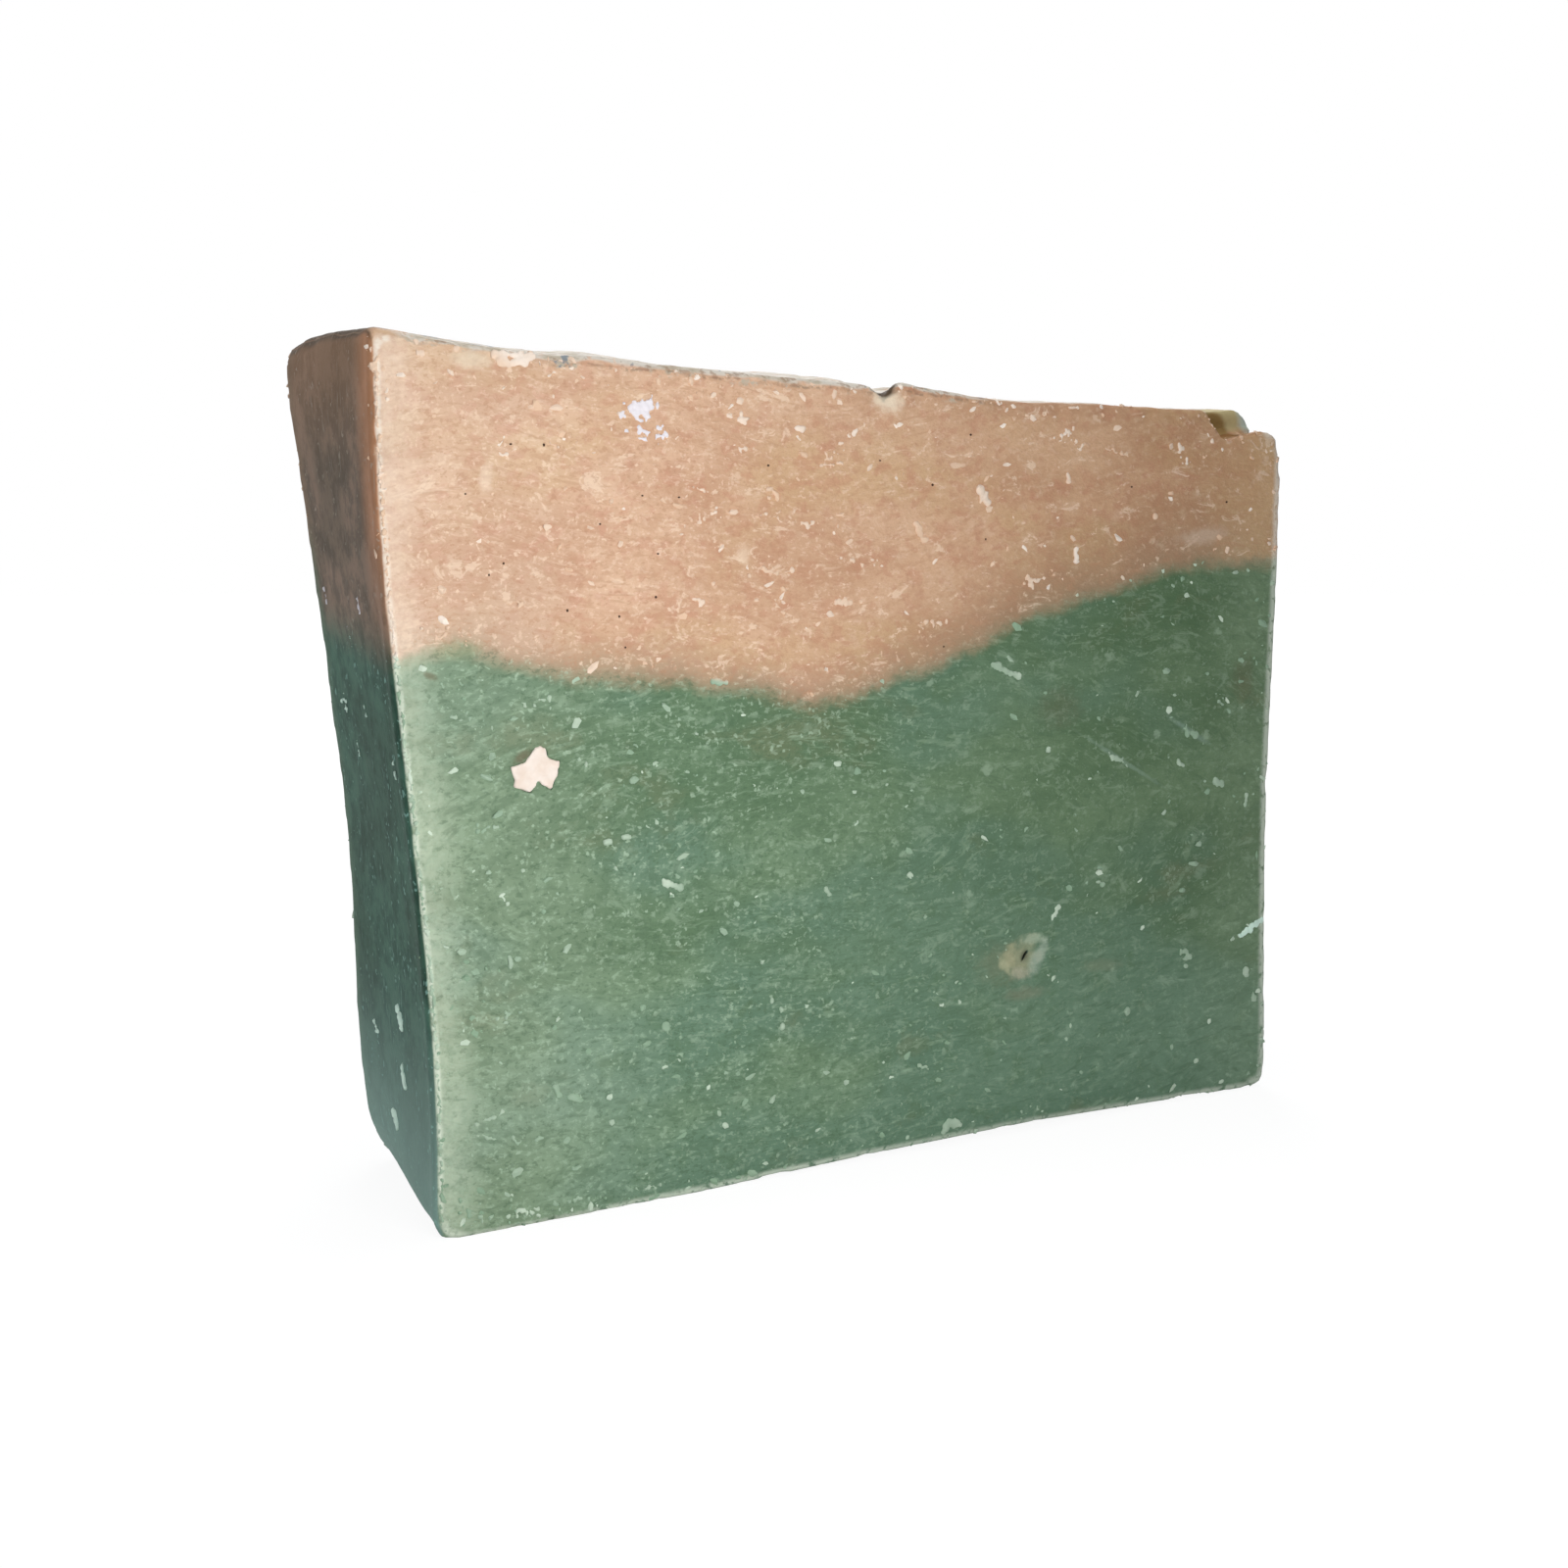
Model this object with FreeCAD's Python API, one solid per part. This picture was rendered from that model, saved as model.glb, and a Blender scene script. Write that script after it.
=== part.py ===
import FreeCAD, Part
import os

# A hand-cut bar of two-colour soap, standing on its foot.
# The bar is one slice of a poured loaf: green soap was poured first, peach soap on top of it,
# and the border between them is the wavy surface that the second pour left.
# X runs along the bar, Y from the front cut face to the back cut face, Z up.
# All lengths are millimetres. The origin is the middle of the finished bar's foot.

# Size of the slice
FOOT_WIDTH = 88.1
THICKNESS = 23.5
LEFT_HEIGHT = 69.9
RIGHT_HEIGHT = 66.3
CROWN_RISE = 0.9
BACK_TOP_RISE = 0.7

# Left end: the mould wall leans out as an S, and its foot steps inwards towards the back
FRONT_FLARE = 3.75
FRONT_FLARE_START = 8.0
FRONT_FLARE_END = 64.0
BACK_FLARE = 5.0
BACK_FLARE_START = 12.0
BACK_FLARE_END = 71.0
BACK_FOOT_STEP = 3.0

# Right end: a shallow hollow, deepest at mid height
RIGHT_HOLLOW = 0.5

# Corner rounding of the front outline and of the back outline
FRONT_FOOT_LEFT_ROUND = 2.6
FRONT_FOOT_RIGHT_ROUND = 1.8
FRONT_TOP_RIGHT_ROUND = 1.4
FRONT_TOP_LEFT_ROUND = 0.9
BACK_FOOT_LEFT_ROUND = 4.6
BACK_FOOT_RIGHT_ROUND = 2.6
BACK_TOP_RIGHT_ROUND = 2.4
BACK_TOP_LEFT_ROUND = 2.4

# Worn bevel round the two cut faces, and how much of the foot is pressed flat
EDGE_WEAR = 0.5
FOOT_FLAT = 0.3

# Border between the pours: its height above the foot at even stations, left to right
FRONT_BORDER_HEIGHTS = (
    45.2, 46.4, 44.4, 43.8, 42.7, 41.2, 42.7, 44.8, 48.1, 49.9, 51.9, 52.5, 52.2,
)
BACK_BORDER_HEIGHTS = (
    47.8, 47.2, 45.7, 44.3, 43.4, 42.5, 43.1, 45.2, 47.4, 49.5, 51.0, 51.8, 51.6,
)

# Chunk broken out of the front top edge at the right end
NOTCH_LENGTH = 9.4
NOTCH_LEFT_SLOPE = 2.3
NOTCH_DROP = 2.3
NOTCH_DEPTH = 4.2
NOTCH_ROUND = 1.0

# Small nick in the front top edge
NICK_FROM_RIGHT = 46.0
NICK_WIDTH = 2.6
NICK_DROP = 1.05
NICK_DEPTH = 1.8

# Pale scrap of soap that the cut went through, flush with the front face
PALE_CHIP_FROM_LEFT = 9.0
PALE_CHIP_HEIGHT = 36.6
PALE_CHIP_DEPTH = 3.0
PALE_CHIP_OUTLINE = (
    (-0.60, 1.10), (0.00, 1.75), (0.80, 1.70), (1.00, 0.95), (2.10, 0.60), (1.90, -0.40),
    (1.35, -1.65), (0.10, -0.65), (-0.60, -1.75), (-1.95, -1.15), (-2.15, 0.35), (-0.95, 0.65),
)

# Air pocket: a shallow saucer in the front face, with a slanting slit in its middle
PIT_FROM_RIGHT = 30.0
PIT_HEIGHT = 16.4
PIT_WIDTH = 5.0
PIT_DEPTH = 0.5
SLIT_DEPTH = 2.4
SLIT_OUTLINE = (
    (-0.30, -0.75), (-0.05, -0.70), (0.35, -0.05), (0.65, 0.60), (0.35, 0.65), (-0.10, 0.10),
)

# How far a cutting shape reaches past the surface that it cuts
OVERCUT = 3.0
WALL_STATIONS = 7

FRONT = -THICKNESS / 2
BACK = THICKNESS / 2
LEFT_FOOT = -FOOT_WIDTH / 2
RIGHT_FOOT = FOOT_WIDTH / 2
HIGHEST = max(LEFT_HEIGHT, RIGHT_HEIGHT) + CROWN_RISE + BACK_TOP_RISE
INTO_BAR = FreeCAD.Vector(0, 1, 0)


def mix(front_value, back_value, share):
    """Value at a share of the way from the front face to the back face."""
    return front_value + (back_value - front_value) * share


def ease(share):
    """Smooth S from 0 to 1."""
    share = min(1.0, max(0.0, share))
    return share * share * (3 - 2 * share)


def spline(points):
    """Smooth edge through the given points."""
    curve = Part.BSplineCurve()
    curve.interpolate(points)
    return curve.toShape()


def bezier(poles):
    """Edge that starts and ends along its outer poles."""
    curve = Part.BezierCurve()
    curve.setPoles(poles)
    return curve.toShape()


class Section:
    """Outline of the bar across its length at one depth, moved in where an edge is worn."""

    def __init__(self, depth, worn=0.0):
        self.depth = depth
        self.worn = worn
        self.share = (depth - FRONT) / THICKNESS
        self.crown = CROWN_RISE * 4 * self.share * (1 - self.share)
        lift = BACK_TOP_RISE * self.share + self.crown / 2 - worn
        self.foot = worn - FOOT_FLAT
        self.left_top = LEFT_HEIGHT + lift
        self.right_top = RIGHT_HEIGHT + lift

    def point(self, x, z):
        return FreeCAD.Vector(x, self.depth, z)

    def rounding(self, front_value, back_value):
        return mix(front_value, back_value, self.share)

    def left_wall(self, z):
        front_up = (z - FRONT_FLARE_START) / (FRONT_FLARE_END - FRONT_FLARE_START)
        back_up = (z - BACK_FLARE_START) / (BACK_FLARE_END - BACK_FLARE_START)
        flare = mix(FRONT_FLARE * ease(front_up), BACK_FLARE * ease(back_up), self.share)
        x = LEFT_FOOT + BACK_FOOT_STEP * self.share - flare + self.worn
        return self.point(x, z)

    def right_wall(self, z):
        up = z / RIGHT_HEIGHT
        return self.point(RIGHT_FOOT - RIGHT_HOLLOW * 4 * up * (1 - up) - self.worn, z)

    def wall(self, side, low, high):
        steps = range(WALL_STATIONS)
        return [side(low + (high - low) * i / (WALL_STATIONS - 1)) for i in steps]

    def wire(self):
        along = FreeCAD.Vector(1, 0, 0)
        foot_left_round = self.rounding(FRONT_FOOT_LEFT_ROUND, BACK_FOOT_LEFT_ROUND)
        foot_right_round = self.rounding(FRONT_FOOT_RIGHT_ROUND, BACK_FOOT_RIGHT_ROUND)
        top_right_round = self.rounding(FRONT_TOP_RIGHT_ROUND, BACK_TOP_RIGHT_ROUND)
        top_left_round = self.rounding(FRONT_TOP_LEFT_ROUND, BACK_TOP_LEFT_ROUND)

        foot_left = self.left_wall(self.foot)
        foot_right = self.right_wall(self.foot)
        top_left = self.left_wall(self.left_top)
        top_right = self.right_wall(self.right_top)
        foot_start = foot_left + along * foot_left_round
        foot_end = foot_right - along * foot_right_round
        crest_left = top_left + along * top_left_round
        crest_right = top_right - along * top_right_round
        right = self.wall(
            self.right_wall, self.foot + foot_right_round, self.right_top - top_right_round
        )
        left = self.wall(
            self.left_wall, self.left_top - top_left_round, self.foot + foot_left_round
        )

        # The top stays level over most of its length and sweeps up to the left end
        third = (crest_right.x - crest_left.x) / 3
        swell = self.right_top + self.crown
        top_poles = [
            crest_right,
            self.point(crest_right.x - third, swell),
            self.point(crest_left.x + third, swell),
            crest_left,
        ]
        return Part.Wire([
            Part.makeLine(foot_start, foot_end),
            bezier([foot_end, foot_right, right[0]]),
            spline(right),
            bezier([right[-1], top_right, crest_right]),
            bezier(top_poles),
            bezier([crest_left, top_left, left[0]]),
            spline(left),
            bezier([left[-1], foot_left, foot_start]),
        ])


def slice_of_loaf():
    """The whole bar before anything is broken out of it."""
    front_rim = Section(FRONT, EDGE_WEAR).wire()
    front_full = Section(FRONT + EDGE_WEAR).wire()
    middle = Section(0.0).wire()
    back_full = Section(BACK - EDGE_WEAR).wire()
    back_rim = Section(BACK, EDGE_WEAR).wire()
    front_bevel = Part.makeLoft([front_rim, front_full], True, True)
    core = Part.makeLoft([front_full, middle, back_full], True, False)
    back_bevel = Part.makeLoft([back_full, back_rim], True, True)
    round_footed = front_bevel.fuse([core, back_bevel]).removeSplitter()
    corner = FreeCAD.Vector(LEFT_FOOT - OVERCUT, FRONT - OVERCUT, -OVERCUT)
    below = Part.makeBox(FOOT_WIDTH + 2 * OVERCUT, THICKNESS + 2 * OVERCUT, OVERCUT, corner)
    return round_footed.cut(below).Solids[0]


def moved(outline, x, z):
    """Outline of (x, z) points put round a place on the front face."""
    return [(x + dx, z + dz) for dx, dz in outline]


def front_prism(outline, depth):
    """Solid that stands on a closed outline of (x, z) points and reaches into the front face."""
    near = FRONT - OVERCUT
    corners = [FreeCAD.Vector(x, near, z) for x, z in outline]
    face = Part.Face(Part.makePolygon(corners + corners[:1]))
    return face.extrude(INTO_BAR * (OVERCUT + depth))


def broken_chunk():
    left_floor = RIGHT_FOOT - NOTCH_LENGTH + NOTCH_LEFT_SLOPE
    floor = RIGHT_HEIGHT - NOTCH_DROP
    lean = NOTCH_LEFT_SLOPE / NOTCH_DROP
    above = HIGHEST - floor + OVERCUT
    outside = RIGHT_FOOT + OVERCUT
    chunk = front_prism(
        [
            (left_floor, floor),
            (outside, floor),
            (outside, floor + above),
            (left_floor - lean * above, floor + above),
        ],
        NOTCH_DEPTH,
    )
    # The break runs out in a hollow, so its inner edges are round
    inner = [
        edge for edge in chunk.Edges
        if edge.BoundBox.YMin > FRONT and edge.BoundBox.ZMin < floor + 0.01
        and edge.CenterOfMass.x < outside - 0.01
    ]
    return chunk.makeFillet(NOTCH_ROUND, inner)


def nick():
    middle = RIGHT_FOOT - NICK_FROM_RIGHT
    # The top edge sweeps up towards the left end with the cube of the way there
    edge = RIGHT_HEIGHT + (LEFT_HEIGHT - RIGHT_HEIGHT) * (NICK_FROM_RIGHT / FOOT_WIDTH) ** 3
    return front_prism(
        [
            (middle - NICK_WIDTH / 2, edge),
            (middle, edge - NICK_DROP),
            (middle + NICK_WIDTH / 2, edge),
            (middle + NICK_WIDTH / 2, HIGHEST + OVERCUT),
            (middle - NICK_WIDTH / 2, HIGHEST + OVERCUT),
        ],
        NICK_DEPTH,
    )


def air_pocket():
    x = RIGHT_FOOT - PIT_FROM_RIGHT
    saucer_radius = (PIT_WIDTH ** 2 / 4 + PIT_DEPTH ** 2) / (2 * PIT_DEPTH)
    centre = FreeCAD.Vector(x, FRONT + PIT_DEPTH - saucer_radius, PIT_HEIGHT)
    saucer = Part.makeSphere(saucer_radius, centre)
    return saucer.fuse(front_prism(moved(SLIT_OUTLINE, x, PIT_HEIGHT), SLIT_DEPTH))


def chip_prism():
    x = LEFT_FOOT + PALE_CHIP_FROM_LEFT
    return front_prism(moved(PALE_CHIP_OUTLINE, x, PALE_CHIP_HEIGHT), PALE_CHIP_DEPTH)


def second_pour():
    """Everything above the border, past the bar on all sides."""
    left = LEFT_FOOT - FRONT_FLARE
    right = RIGHT_FOOT + 1.0
    last = len(FRONT_BORDER_HEIGHTS) - 1
    roof = HIGHEST + OVERCUT
    wires = []
    for depth in (FRONT - OVERCUT, BACK + OVERCUT):
        share = (depth - FRONT) / THICKNESS
        heights = [mix(*pair, share) for pair in zip(FRONT_BORDER_HEIGHTS, BACK_BORDER_HEIGHTS)]
        border = [
            FreeCAD.Vector(left + (right - left) * i / last, depth, height)
            for i, height in enumerate(heights)
        ]
        low_left = border[0] - FreeCAD.Vector(OVERCUT, 0, 0)
        low_right = border[-1] + FreeCAD.Vector(OVERCUT, 0, 0)
        high_right = FreeCAD.Vector(low_right.x, depth, roof)
        high_left = FreeCAD.Vector(low_left.x, depth, roof)
        wires.append(Part.Wire([
            Part.makeLine(low_left, border[0]),
            spline(border),
            Part.makeLine(border[-1], low_right),
            Part.makeLine(low_right, high_right),
            Part.makeLine(high_right, high_left),
            Part.makeLine(high_left, low_left),
        ]))
    return Part.makeLoft(wires, True, True)


def build():
    bar = slice_of_loaf().cut([broken_chunk(), nick(), air_pocket()])
    upper = second_pour()
    chip = chip_prism()
    return {
        "green_layer": bar.cut([upper, chip]).Solids[0],
        "peach_layer": bar.common(upper).Solids[0],
        "pale_chip": bar.common(chip).Solids[0],
    }


pieces = build()
box = Part.makeCompound(list(pieces.values())).optimalBoundingBox()
to_origin = FreeCAD.Vector(-box.Center.x, -box.Center.y, -box.ZMin)
os.makedirs("parts", exist_ok=True)
for name, shape in pieces.items():
    shape.translate(to_origin)
    shape.exportStep(f"parts/{name}.step")
    size = shape.optimalBoundingBox()
    print(f"{name}: valid {shape.isValid()}, {shape.Volume / 1000:.2f} cm3,"
          f" {size.XLength:.2f} x {size.YLength:.2f} x {size.ZLength:.2f} mm")
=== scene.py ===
import math

import bmesh
import bpy
import numpy as np
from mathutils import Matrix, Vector, kdtree, noise
from mathutils.bvhtree import BVHTree


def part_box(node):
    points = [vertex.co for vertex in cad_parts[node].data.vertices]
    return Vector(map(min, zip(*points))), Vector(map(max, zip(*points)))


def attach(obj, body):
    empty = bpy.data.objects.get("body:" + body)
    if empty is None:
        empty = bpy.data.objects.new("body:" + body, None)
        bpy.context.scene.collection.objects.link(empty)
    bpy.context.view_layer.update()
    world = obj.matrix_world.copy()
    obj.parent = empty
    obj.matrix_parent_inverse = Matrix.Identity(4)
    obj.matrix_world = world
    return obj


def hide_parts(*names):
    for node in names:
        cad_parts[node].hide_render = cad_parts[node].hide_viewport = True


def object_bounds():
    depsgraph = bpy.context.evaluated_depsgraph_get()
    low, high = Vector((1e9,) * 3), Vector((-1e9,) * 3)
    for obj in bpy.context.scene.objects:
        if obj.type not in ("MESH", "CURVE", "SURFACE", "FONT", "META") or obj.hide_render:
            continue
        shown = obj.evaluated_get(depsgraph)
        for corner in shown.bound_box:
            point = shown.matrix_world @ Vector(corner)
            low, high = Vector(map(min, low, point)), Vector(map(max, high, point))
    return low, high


# A two-colour bar of soap on a white table. Lengths in this file are millimetres unless a name
# says otherwise, and MM turns them into the metres that the meshes hold.
MM = 0.001

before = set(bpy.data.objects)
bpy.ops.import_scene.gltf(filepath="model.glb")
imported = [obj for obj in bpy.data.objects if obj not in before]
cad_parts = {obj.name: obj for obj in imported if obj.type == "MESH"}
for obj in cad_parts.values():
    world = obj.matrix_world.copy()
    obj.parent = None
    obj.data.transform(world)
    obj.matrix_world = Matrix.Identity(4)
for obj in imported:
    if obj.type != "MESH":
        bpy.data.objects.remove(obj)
cad_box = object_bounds()
LOW = np.array(cad_box[0]) / MM
HIGH = np.array(cad_box[1]) / MM
FRONT, BACK, LEFT, RIGHT = LOW[1], HIGH[1], LOW[0], HIGH[0]

# How finely each skin is modelled
BAR_GRAIN = 0.46
SCRAP_GRAIN = 0.12
FLAKE_GRAIN = 0.11

# Distance from the rim, in mm, given to corners that a cut makes
WELL_INSIDE = 9.0

# How far cutters start in front of the face, and how far the pale scrap stands proud of it
CLEARANCE = 1.0
SCRAP_PROUD = 0.12

# Outline of the pale scrap on the cut face, about the middle of its solid
SCRAP_OUTLINE = (
    (-0.55, 1.15), (-0.30, 1.52), (0.05, 1.77), (0.42, 1.82), (0.80, 1.68), (0.99, 1.36),
    (1.00, 0.96), (1.57, 0.70), (2.11, 0.58), (1.90, -0.39), (1.50, -1.21), (1.34, -1.65),
    (0.86, -1.36), (0.52, -1.22), (0.12, -0.72), (0.02, -1.20), (-0.52, -1.78), (-1.18, -1.50),
    (-1.94, -1.16), (-1.84, -0.69), (-2.07, -0.05), (-2.16, 0.35), (-0.95, 0.63),
)
SCRAP_HALF_WIDTH, SCRAP_HEIGHT = 2.1, 36.6

# The air pocket's slit: where it is on the front, its outline, and how deep it goes
SLIT_PLACE = (RIGHT - 29.96, 16.4)
SLIT_OUTLINE = (
    (-0.28, -0.52), (-0.07, -0.40), (0.15, -0.08), (0.42, 0.20), (0.48, 0.48), (0.22, 0.40),
    (0.0, 0.12), (-0.15, -0.20),
)
SLIT_DEPTH = 2.4

# A block that fills the solid's own slit first, so that the finer one is cut into plain soap
SLIT_FILLING = [(-1.2, -1.4), (1.2, -1.4), (1.2, 1.4), (-1.2, 1.4)]
SLIT_FILLING_DEPTHS = (0.9, 4.0)

# How far round the slit the pit reaches
PIT_RADIUS = 3.2

# The middle of the swirl that the green pour set in, and how much wider than tall it is
SWIRL = (-5.6, 28.0)
SWIRL_STRETCH = 3.6

# Unevenness of each surface: how high its bumps are, how wide, and the seed of their noise
FACE_WAVES = ((0.10, 16, 1), (0.04, 3.5, 2))
TOP_LUMPS = ((0.28, 7, 3), (0.14, 2.2, 4))
RIM_CRUMBLE = ((1.0, 1.6, 5), (0.25, 5, 6))
SCRAP_BUMPS = ((0.10, 0.7, 8), (0.05, 0.3, 9))
FLAKE_BUMPS = ((0.10, 0.5, 12), (0.05, 0.22, 13))

# How deep the rims crumble, and how far in from them
CRUMBLE_DEPTH, CRUMBLE_REACH = 0.6, 0.7

# How far the rear of the left end moves to the right: height, move
REAR_LEFT_SHIFT = (
    (0, 1.2), (1, 1.2), (2, 0.95), (3, 0.8), (4, 0.5), (5, 0.25), (9, -0.25), (14.5, -0.5),
    (20, -0.35), (25, -0.1), (30, 0.1), (35, 0.25), (40, 0.2), (45, 0.4), (55, 0.3), (61, 0.1),
    (65, -0.3),
)

# How far the right end moves to the right: height, move
RIGHT_END_SHIFT = (
    (0, 0.6), (8, 0.7), (14, 0.6), (22, 0.5), (30, 0.5), (38, 0.65), (45, 0.85), (52, 0.95),
    (57, 0.85), (61, 0.75), (63.5, 0.7),
)

# How far the poured top rises: x, rise
TOP_RISE = (
    (-32, 0.1), (-28, 0.3), (-26, 0.45), (-21, 0.45), (-17, 0.1), (-14, 0.1), (-11, 0.3),
    (-6, 0.4), (-3, 0.5), (2, -0.6), (5, -0.4), (6.5, 0.0), (9, -0.1), (13, -0.35), (17, -0.6),
    (22, -0.4), (36, -0.5), (41, -0.35), (44, 0.0),
)

# How far the front of the crest stands up: x, rise
CREST_RISE = (
    (-31, 0.0), (-28, 0.4), (-4, 0.55), (-2.2, 0.45), (-0.8, 0.5), (-0.2, 0.6), (1.9, 0.98),
    (4.1, 0.65), (6.1, 0.55), (8.8, 0.3), (14, 0.0),
)

# How far the front's foot edge stands off the table: x, gap
FOOT_EDGE_LIFT = (
    (-44, -0.2), (-38, -0.35), (-33, -0.35), (-14, 0.1), (-2, 0.5), (6, 0.6), (17, 0.75),
    (27, 0.55), (42, 0.2),
)
FOOT_EDGE_HEIGHT = 2.6

# How far the front's left edge stands out
EDGE_SHIFT = 0.16

# Where the left wall stands on the front, and how far right its rear leans
LEFT_WALL, REAR_WALL_LEAN = -42.15, 3.0

# The broken corner: a hollow at the foot of its left wall, and its two rounded ends
HOLLOW_OUTLINE = (
    (36.5, 66.3), (37.3, 64.9), (38.4, 63.75), (39.4, 63.45), (40.8, 63.95), (41.6, 66.3),
)
HOLLOW_DEPTH = 3.8
LEDGE_TOP, LEDGE_ROUND, LEDGE_RISE = 64.5, 2.2, 0.5
KNOB_TOP, KNOB_ROUND = 66.95, 3.2
NOTCH_DEPTH = 4.2


# Meshes

def vertices_of(mesh):
    """A mesh's corners as rows of x, y and z in mm."""
    places = np.empty(len(mesh.vertices) * 3, np.float32)
    mesh.vertices.foreach_get("co", places)
    return places.reshape(-1, 3).astype(float) / MM


def place_vertices(mesh, places):
    mesh.vertices.foreach_set("co", (places * MM).astype(np.float32).ravel())
    mesh.update()


def normals_of(mesh):
    directions = np.empty(len(mesh.vertices) * 3, np.float32)
    mesh.vertex_normals.foreach_get("vector", directions)
    return directions.reshape(-1, 3).astype(float)


def new_object(name, mesh):
    piece = bpy.data.objects.new(name, mesh)
    bpy.context.scene.collection.objects.link(piece)
    return piece


def closed_solid(node):
    """A CAD solid with its loose triangles joined up."""
    shape = bmesh.new()
    shape.from_mesh(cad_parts[node].data)
    bmesh.ops.remove_doubles(shape, verts=shape.verts, dist=1e-6)
    return shape


def prism(outline, place, near, far):
    """Closed solid that stands on an (x, z) outline and runs from one depth to another."""
    shape = bmesh.new()
    rings = []
    for depth in (near, far):
        corners = [((place[0] + x) * MM, depth * MM, (place[1] + z) * MM) for x, z in outline]
        rings.append([shape.verts.new(corner) for corner in corners])
    shape.faces.new(rings[0])
    shape.faces.new(rings[1][::-1])
    for i in range(len(outline)):
        j = (i + 1) % len(outline)
        shape.faces.new((rings[0][i], rings[0][j], rings[1][j], rings[1][i]))
    bmesh.ops.recalc_face_normals(shape, faces=shape.faces)
    return shape


def mesh_from(shapes, name):
    """One mesh that holds several bmesh shapes side by side."""
    mesh = bpy.data.meshes.new(name)
    whole = bmesh.new()
    for shape in shapes:
        part = bpy.data.meshes.new(name + "_part")
        shape.to_mesh(part)
        whole.from_mesh(part)
        shape.free()
        bpy.data.meshes.remove(part)
    whole.to_mesh(mesh)
    whole.free()
    return mesh


def finished(piece):
    """Applies a piece's modifiers, so that only a plain mesh is left."""
    bpy.context.view_layer.update()
    seen = piece.evaluated_get(bpy.context.evaluated_depsgraph_get())
    mesh = bpy.data.meshes.new_from_object(seen)
    piece.modifiers.clear()
    piece.data = mesh
    return piece


def skinned(name, shapes, grain):
    """One even skin round several shapes that touch or overlap."""
    piece = new_object(name, mesh_from(shapes, name))
    skin = piece.modifiers.new("skin", "REMESH")
    skin.mode = "VOXEL"
    skin.voxel_size = grain * MM
    skin.use_smooth_shade = True
    return finished(piece)


def cut_out(piece, shape):
    """Takes a shape away from a piece."""
    tool = new_object("cutter", mesh_from([shape], "cutter"))
    cut = piece.modifiers.new("cut", "BOOLEAN")
    cut.operation = "DIFFERENCE"
    cut.solver = "MANIFOLD"
    cut.object = tool
    finished(piece)
    bpy.data.objects.remove(tool)
    return piece


def ripples(places, size, seed):
    """Smooth random heights from -1 to 1 at each place, with bumps about as wide as size."""
    shift = Vector((seed * 7.3, seed * 3.1, seed * 5.7))
    return np.array([noise.noise(Vector(place) / size + shift) for place in places])


def uneven(places, bumps):
    """The height of several kinds of bumps together at each place."""
    return sum(height * ripples(places, size, seed) for height, size, seed in bumps)


def read_off(table, spots):
    """A table's value at each spot, in a straight line from row to row."""
    return np.interp(spots, *zip(*table))


def rise(values, low, high):
    """0 below low, 1 above high, and smooth between them."""
    share = np.clip((values - low) / (high - low), 0, 1)
    return share * share * (3 - 2 * share)


# Where things are on the bar

def distance_to(points, places):
    tree = kdtree.KDTree(len(points))
    for index, point in enumerate(points):
        tree.insert(point, index)
    tree.balance()
    return np.array([tree.find(place)[2] for place in places])


def surface_of(mesh):
    return BVHTree.FromPolygons(
        [vertex.co for vertex in mesh.vertices], [face.vertices for face in mesh.polygons]
    )


def shared_corners(node, other):
    """Corners of one solid that lie on another."""
    surface = surface_of(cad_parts[other].data)
    places = vertices_of(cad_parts[node].data)
    gaps = np.array([surface.find_nearest(Vector(place) * MM)[3] for place in places]) / MM
    return places[gaps < 0.02]


BORDER_POINTS = shared_corners("green_layer", "peach_layer")


def border_line(depth):
    """The border's points on one cut face, from left to right."""
    line = BORDER_POINTS[np.abs(BORDER_POINTS[:, 1] - depth) < 0.02]
    return line[np.argsort(line[:, 0])]


def above_border(places):
    """How far above the border between the two pours each place is."""
    front, back = border_line(FRONT), border_line(BACK)
    front_height = np.interp(places[:, 0], front[:, 0], front[:, 2])
    back_height = np.interp(places[:, 0], back[:, 0], back[:, 2])
    share = np.clip((places[:, 1] - FRONT) / (BACK - FRONT), 0, 1)
    return places[:, 2] - (front_height + (back_height - front_height) * share)


def box_of(node):
    return [np.array(corner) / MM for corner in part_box(node)]


def rim_points(depth, facing):
    """Points along the rim of one cut face."""
    scrap_low, scrap_high = box_of("pale_chip")
    points = []
    for node in ("green_layer", "peach_layer"):
        shape = closed_solid(node)
        shape.normal_update()
        for edge in shape.edges:
            flat = [face.normal.y * facing > 0.99 for face in edge.link_faces]
            if flat[0] == flat[1] or abs(edge.verts[0].co.y / MM - depth) > 0.05:
                continue
            a, b = (np.array(v.co) / MM for v in edge.verts)
            middle = (a + b) / 2
            on_scrap = np.all(middle[[0, 2]] > scrap_low[[0, 2]] - 0.2)
            on_scrap = on_scrap and np.all(middle[[0, 2]] < scrap_high[[0, 2]] + 0.2)
            on_pit = math.dist(middle[[0, 2]], SLIT_PLACE) < PIT_RADIUS
            on_border = abs(above_border(middle[None])[0]) < 0.05 and abs(a[0] - b[0]) > 0.02
            if on_scrap or on_pit or on_border:
                continue
            count = max(2, int(math.dist(a, b) / 0.25) + 1)
            points.extend(a + (b - a) * step for step in np.linspace(0, 1, count))
        shape.free()
    return np.array(points)


FRONT_RIM = rim_points(FRONT, -1)
BACK_RIM = rim_points(BACK, 1)


def from_left_edge(places):
    """How far each place is to the right of the front's left edge."""
    edge = FRONT_RIM[(FRONT_RIM[:, 0] < LEFT + 14) & (FRONT_RIM[:, 2] > 3) & (FRONT_RIM[:, 2] < 68)]
    edge = edge[np.argsort(edge[:, 2])]
    return places[:, 0] - np.interp(places[:, 2], edge[:, 2], edge[:, 0])


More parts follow.
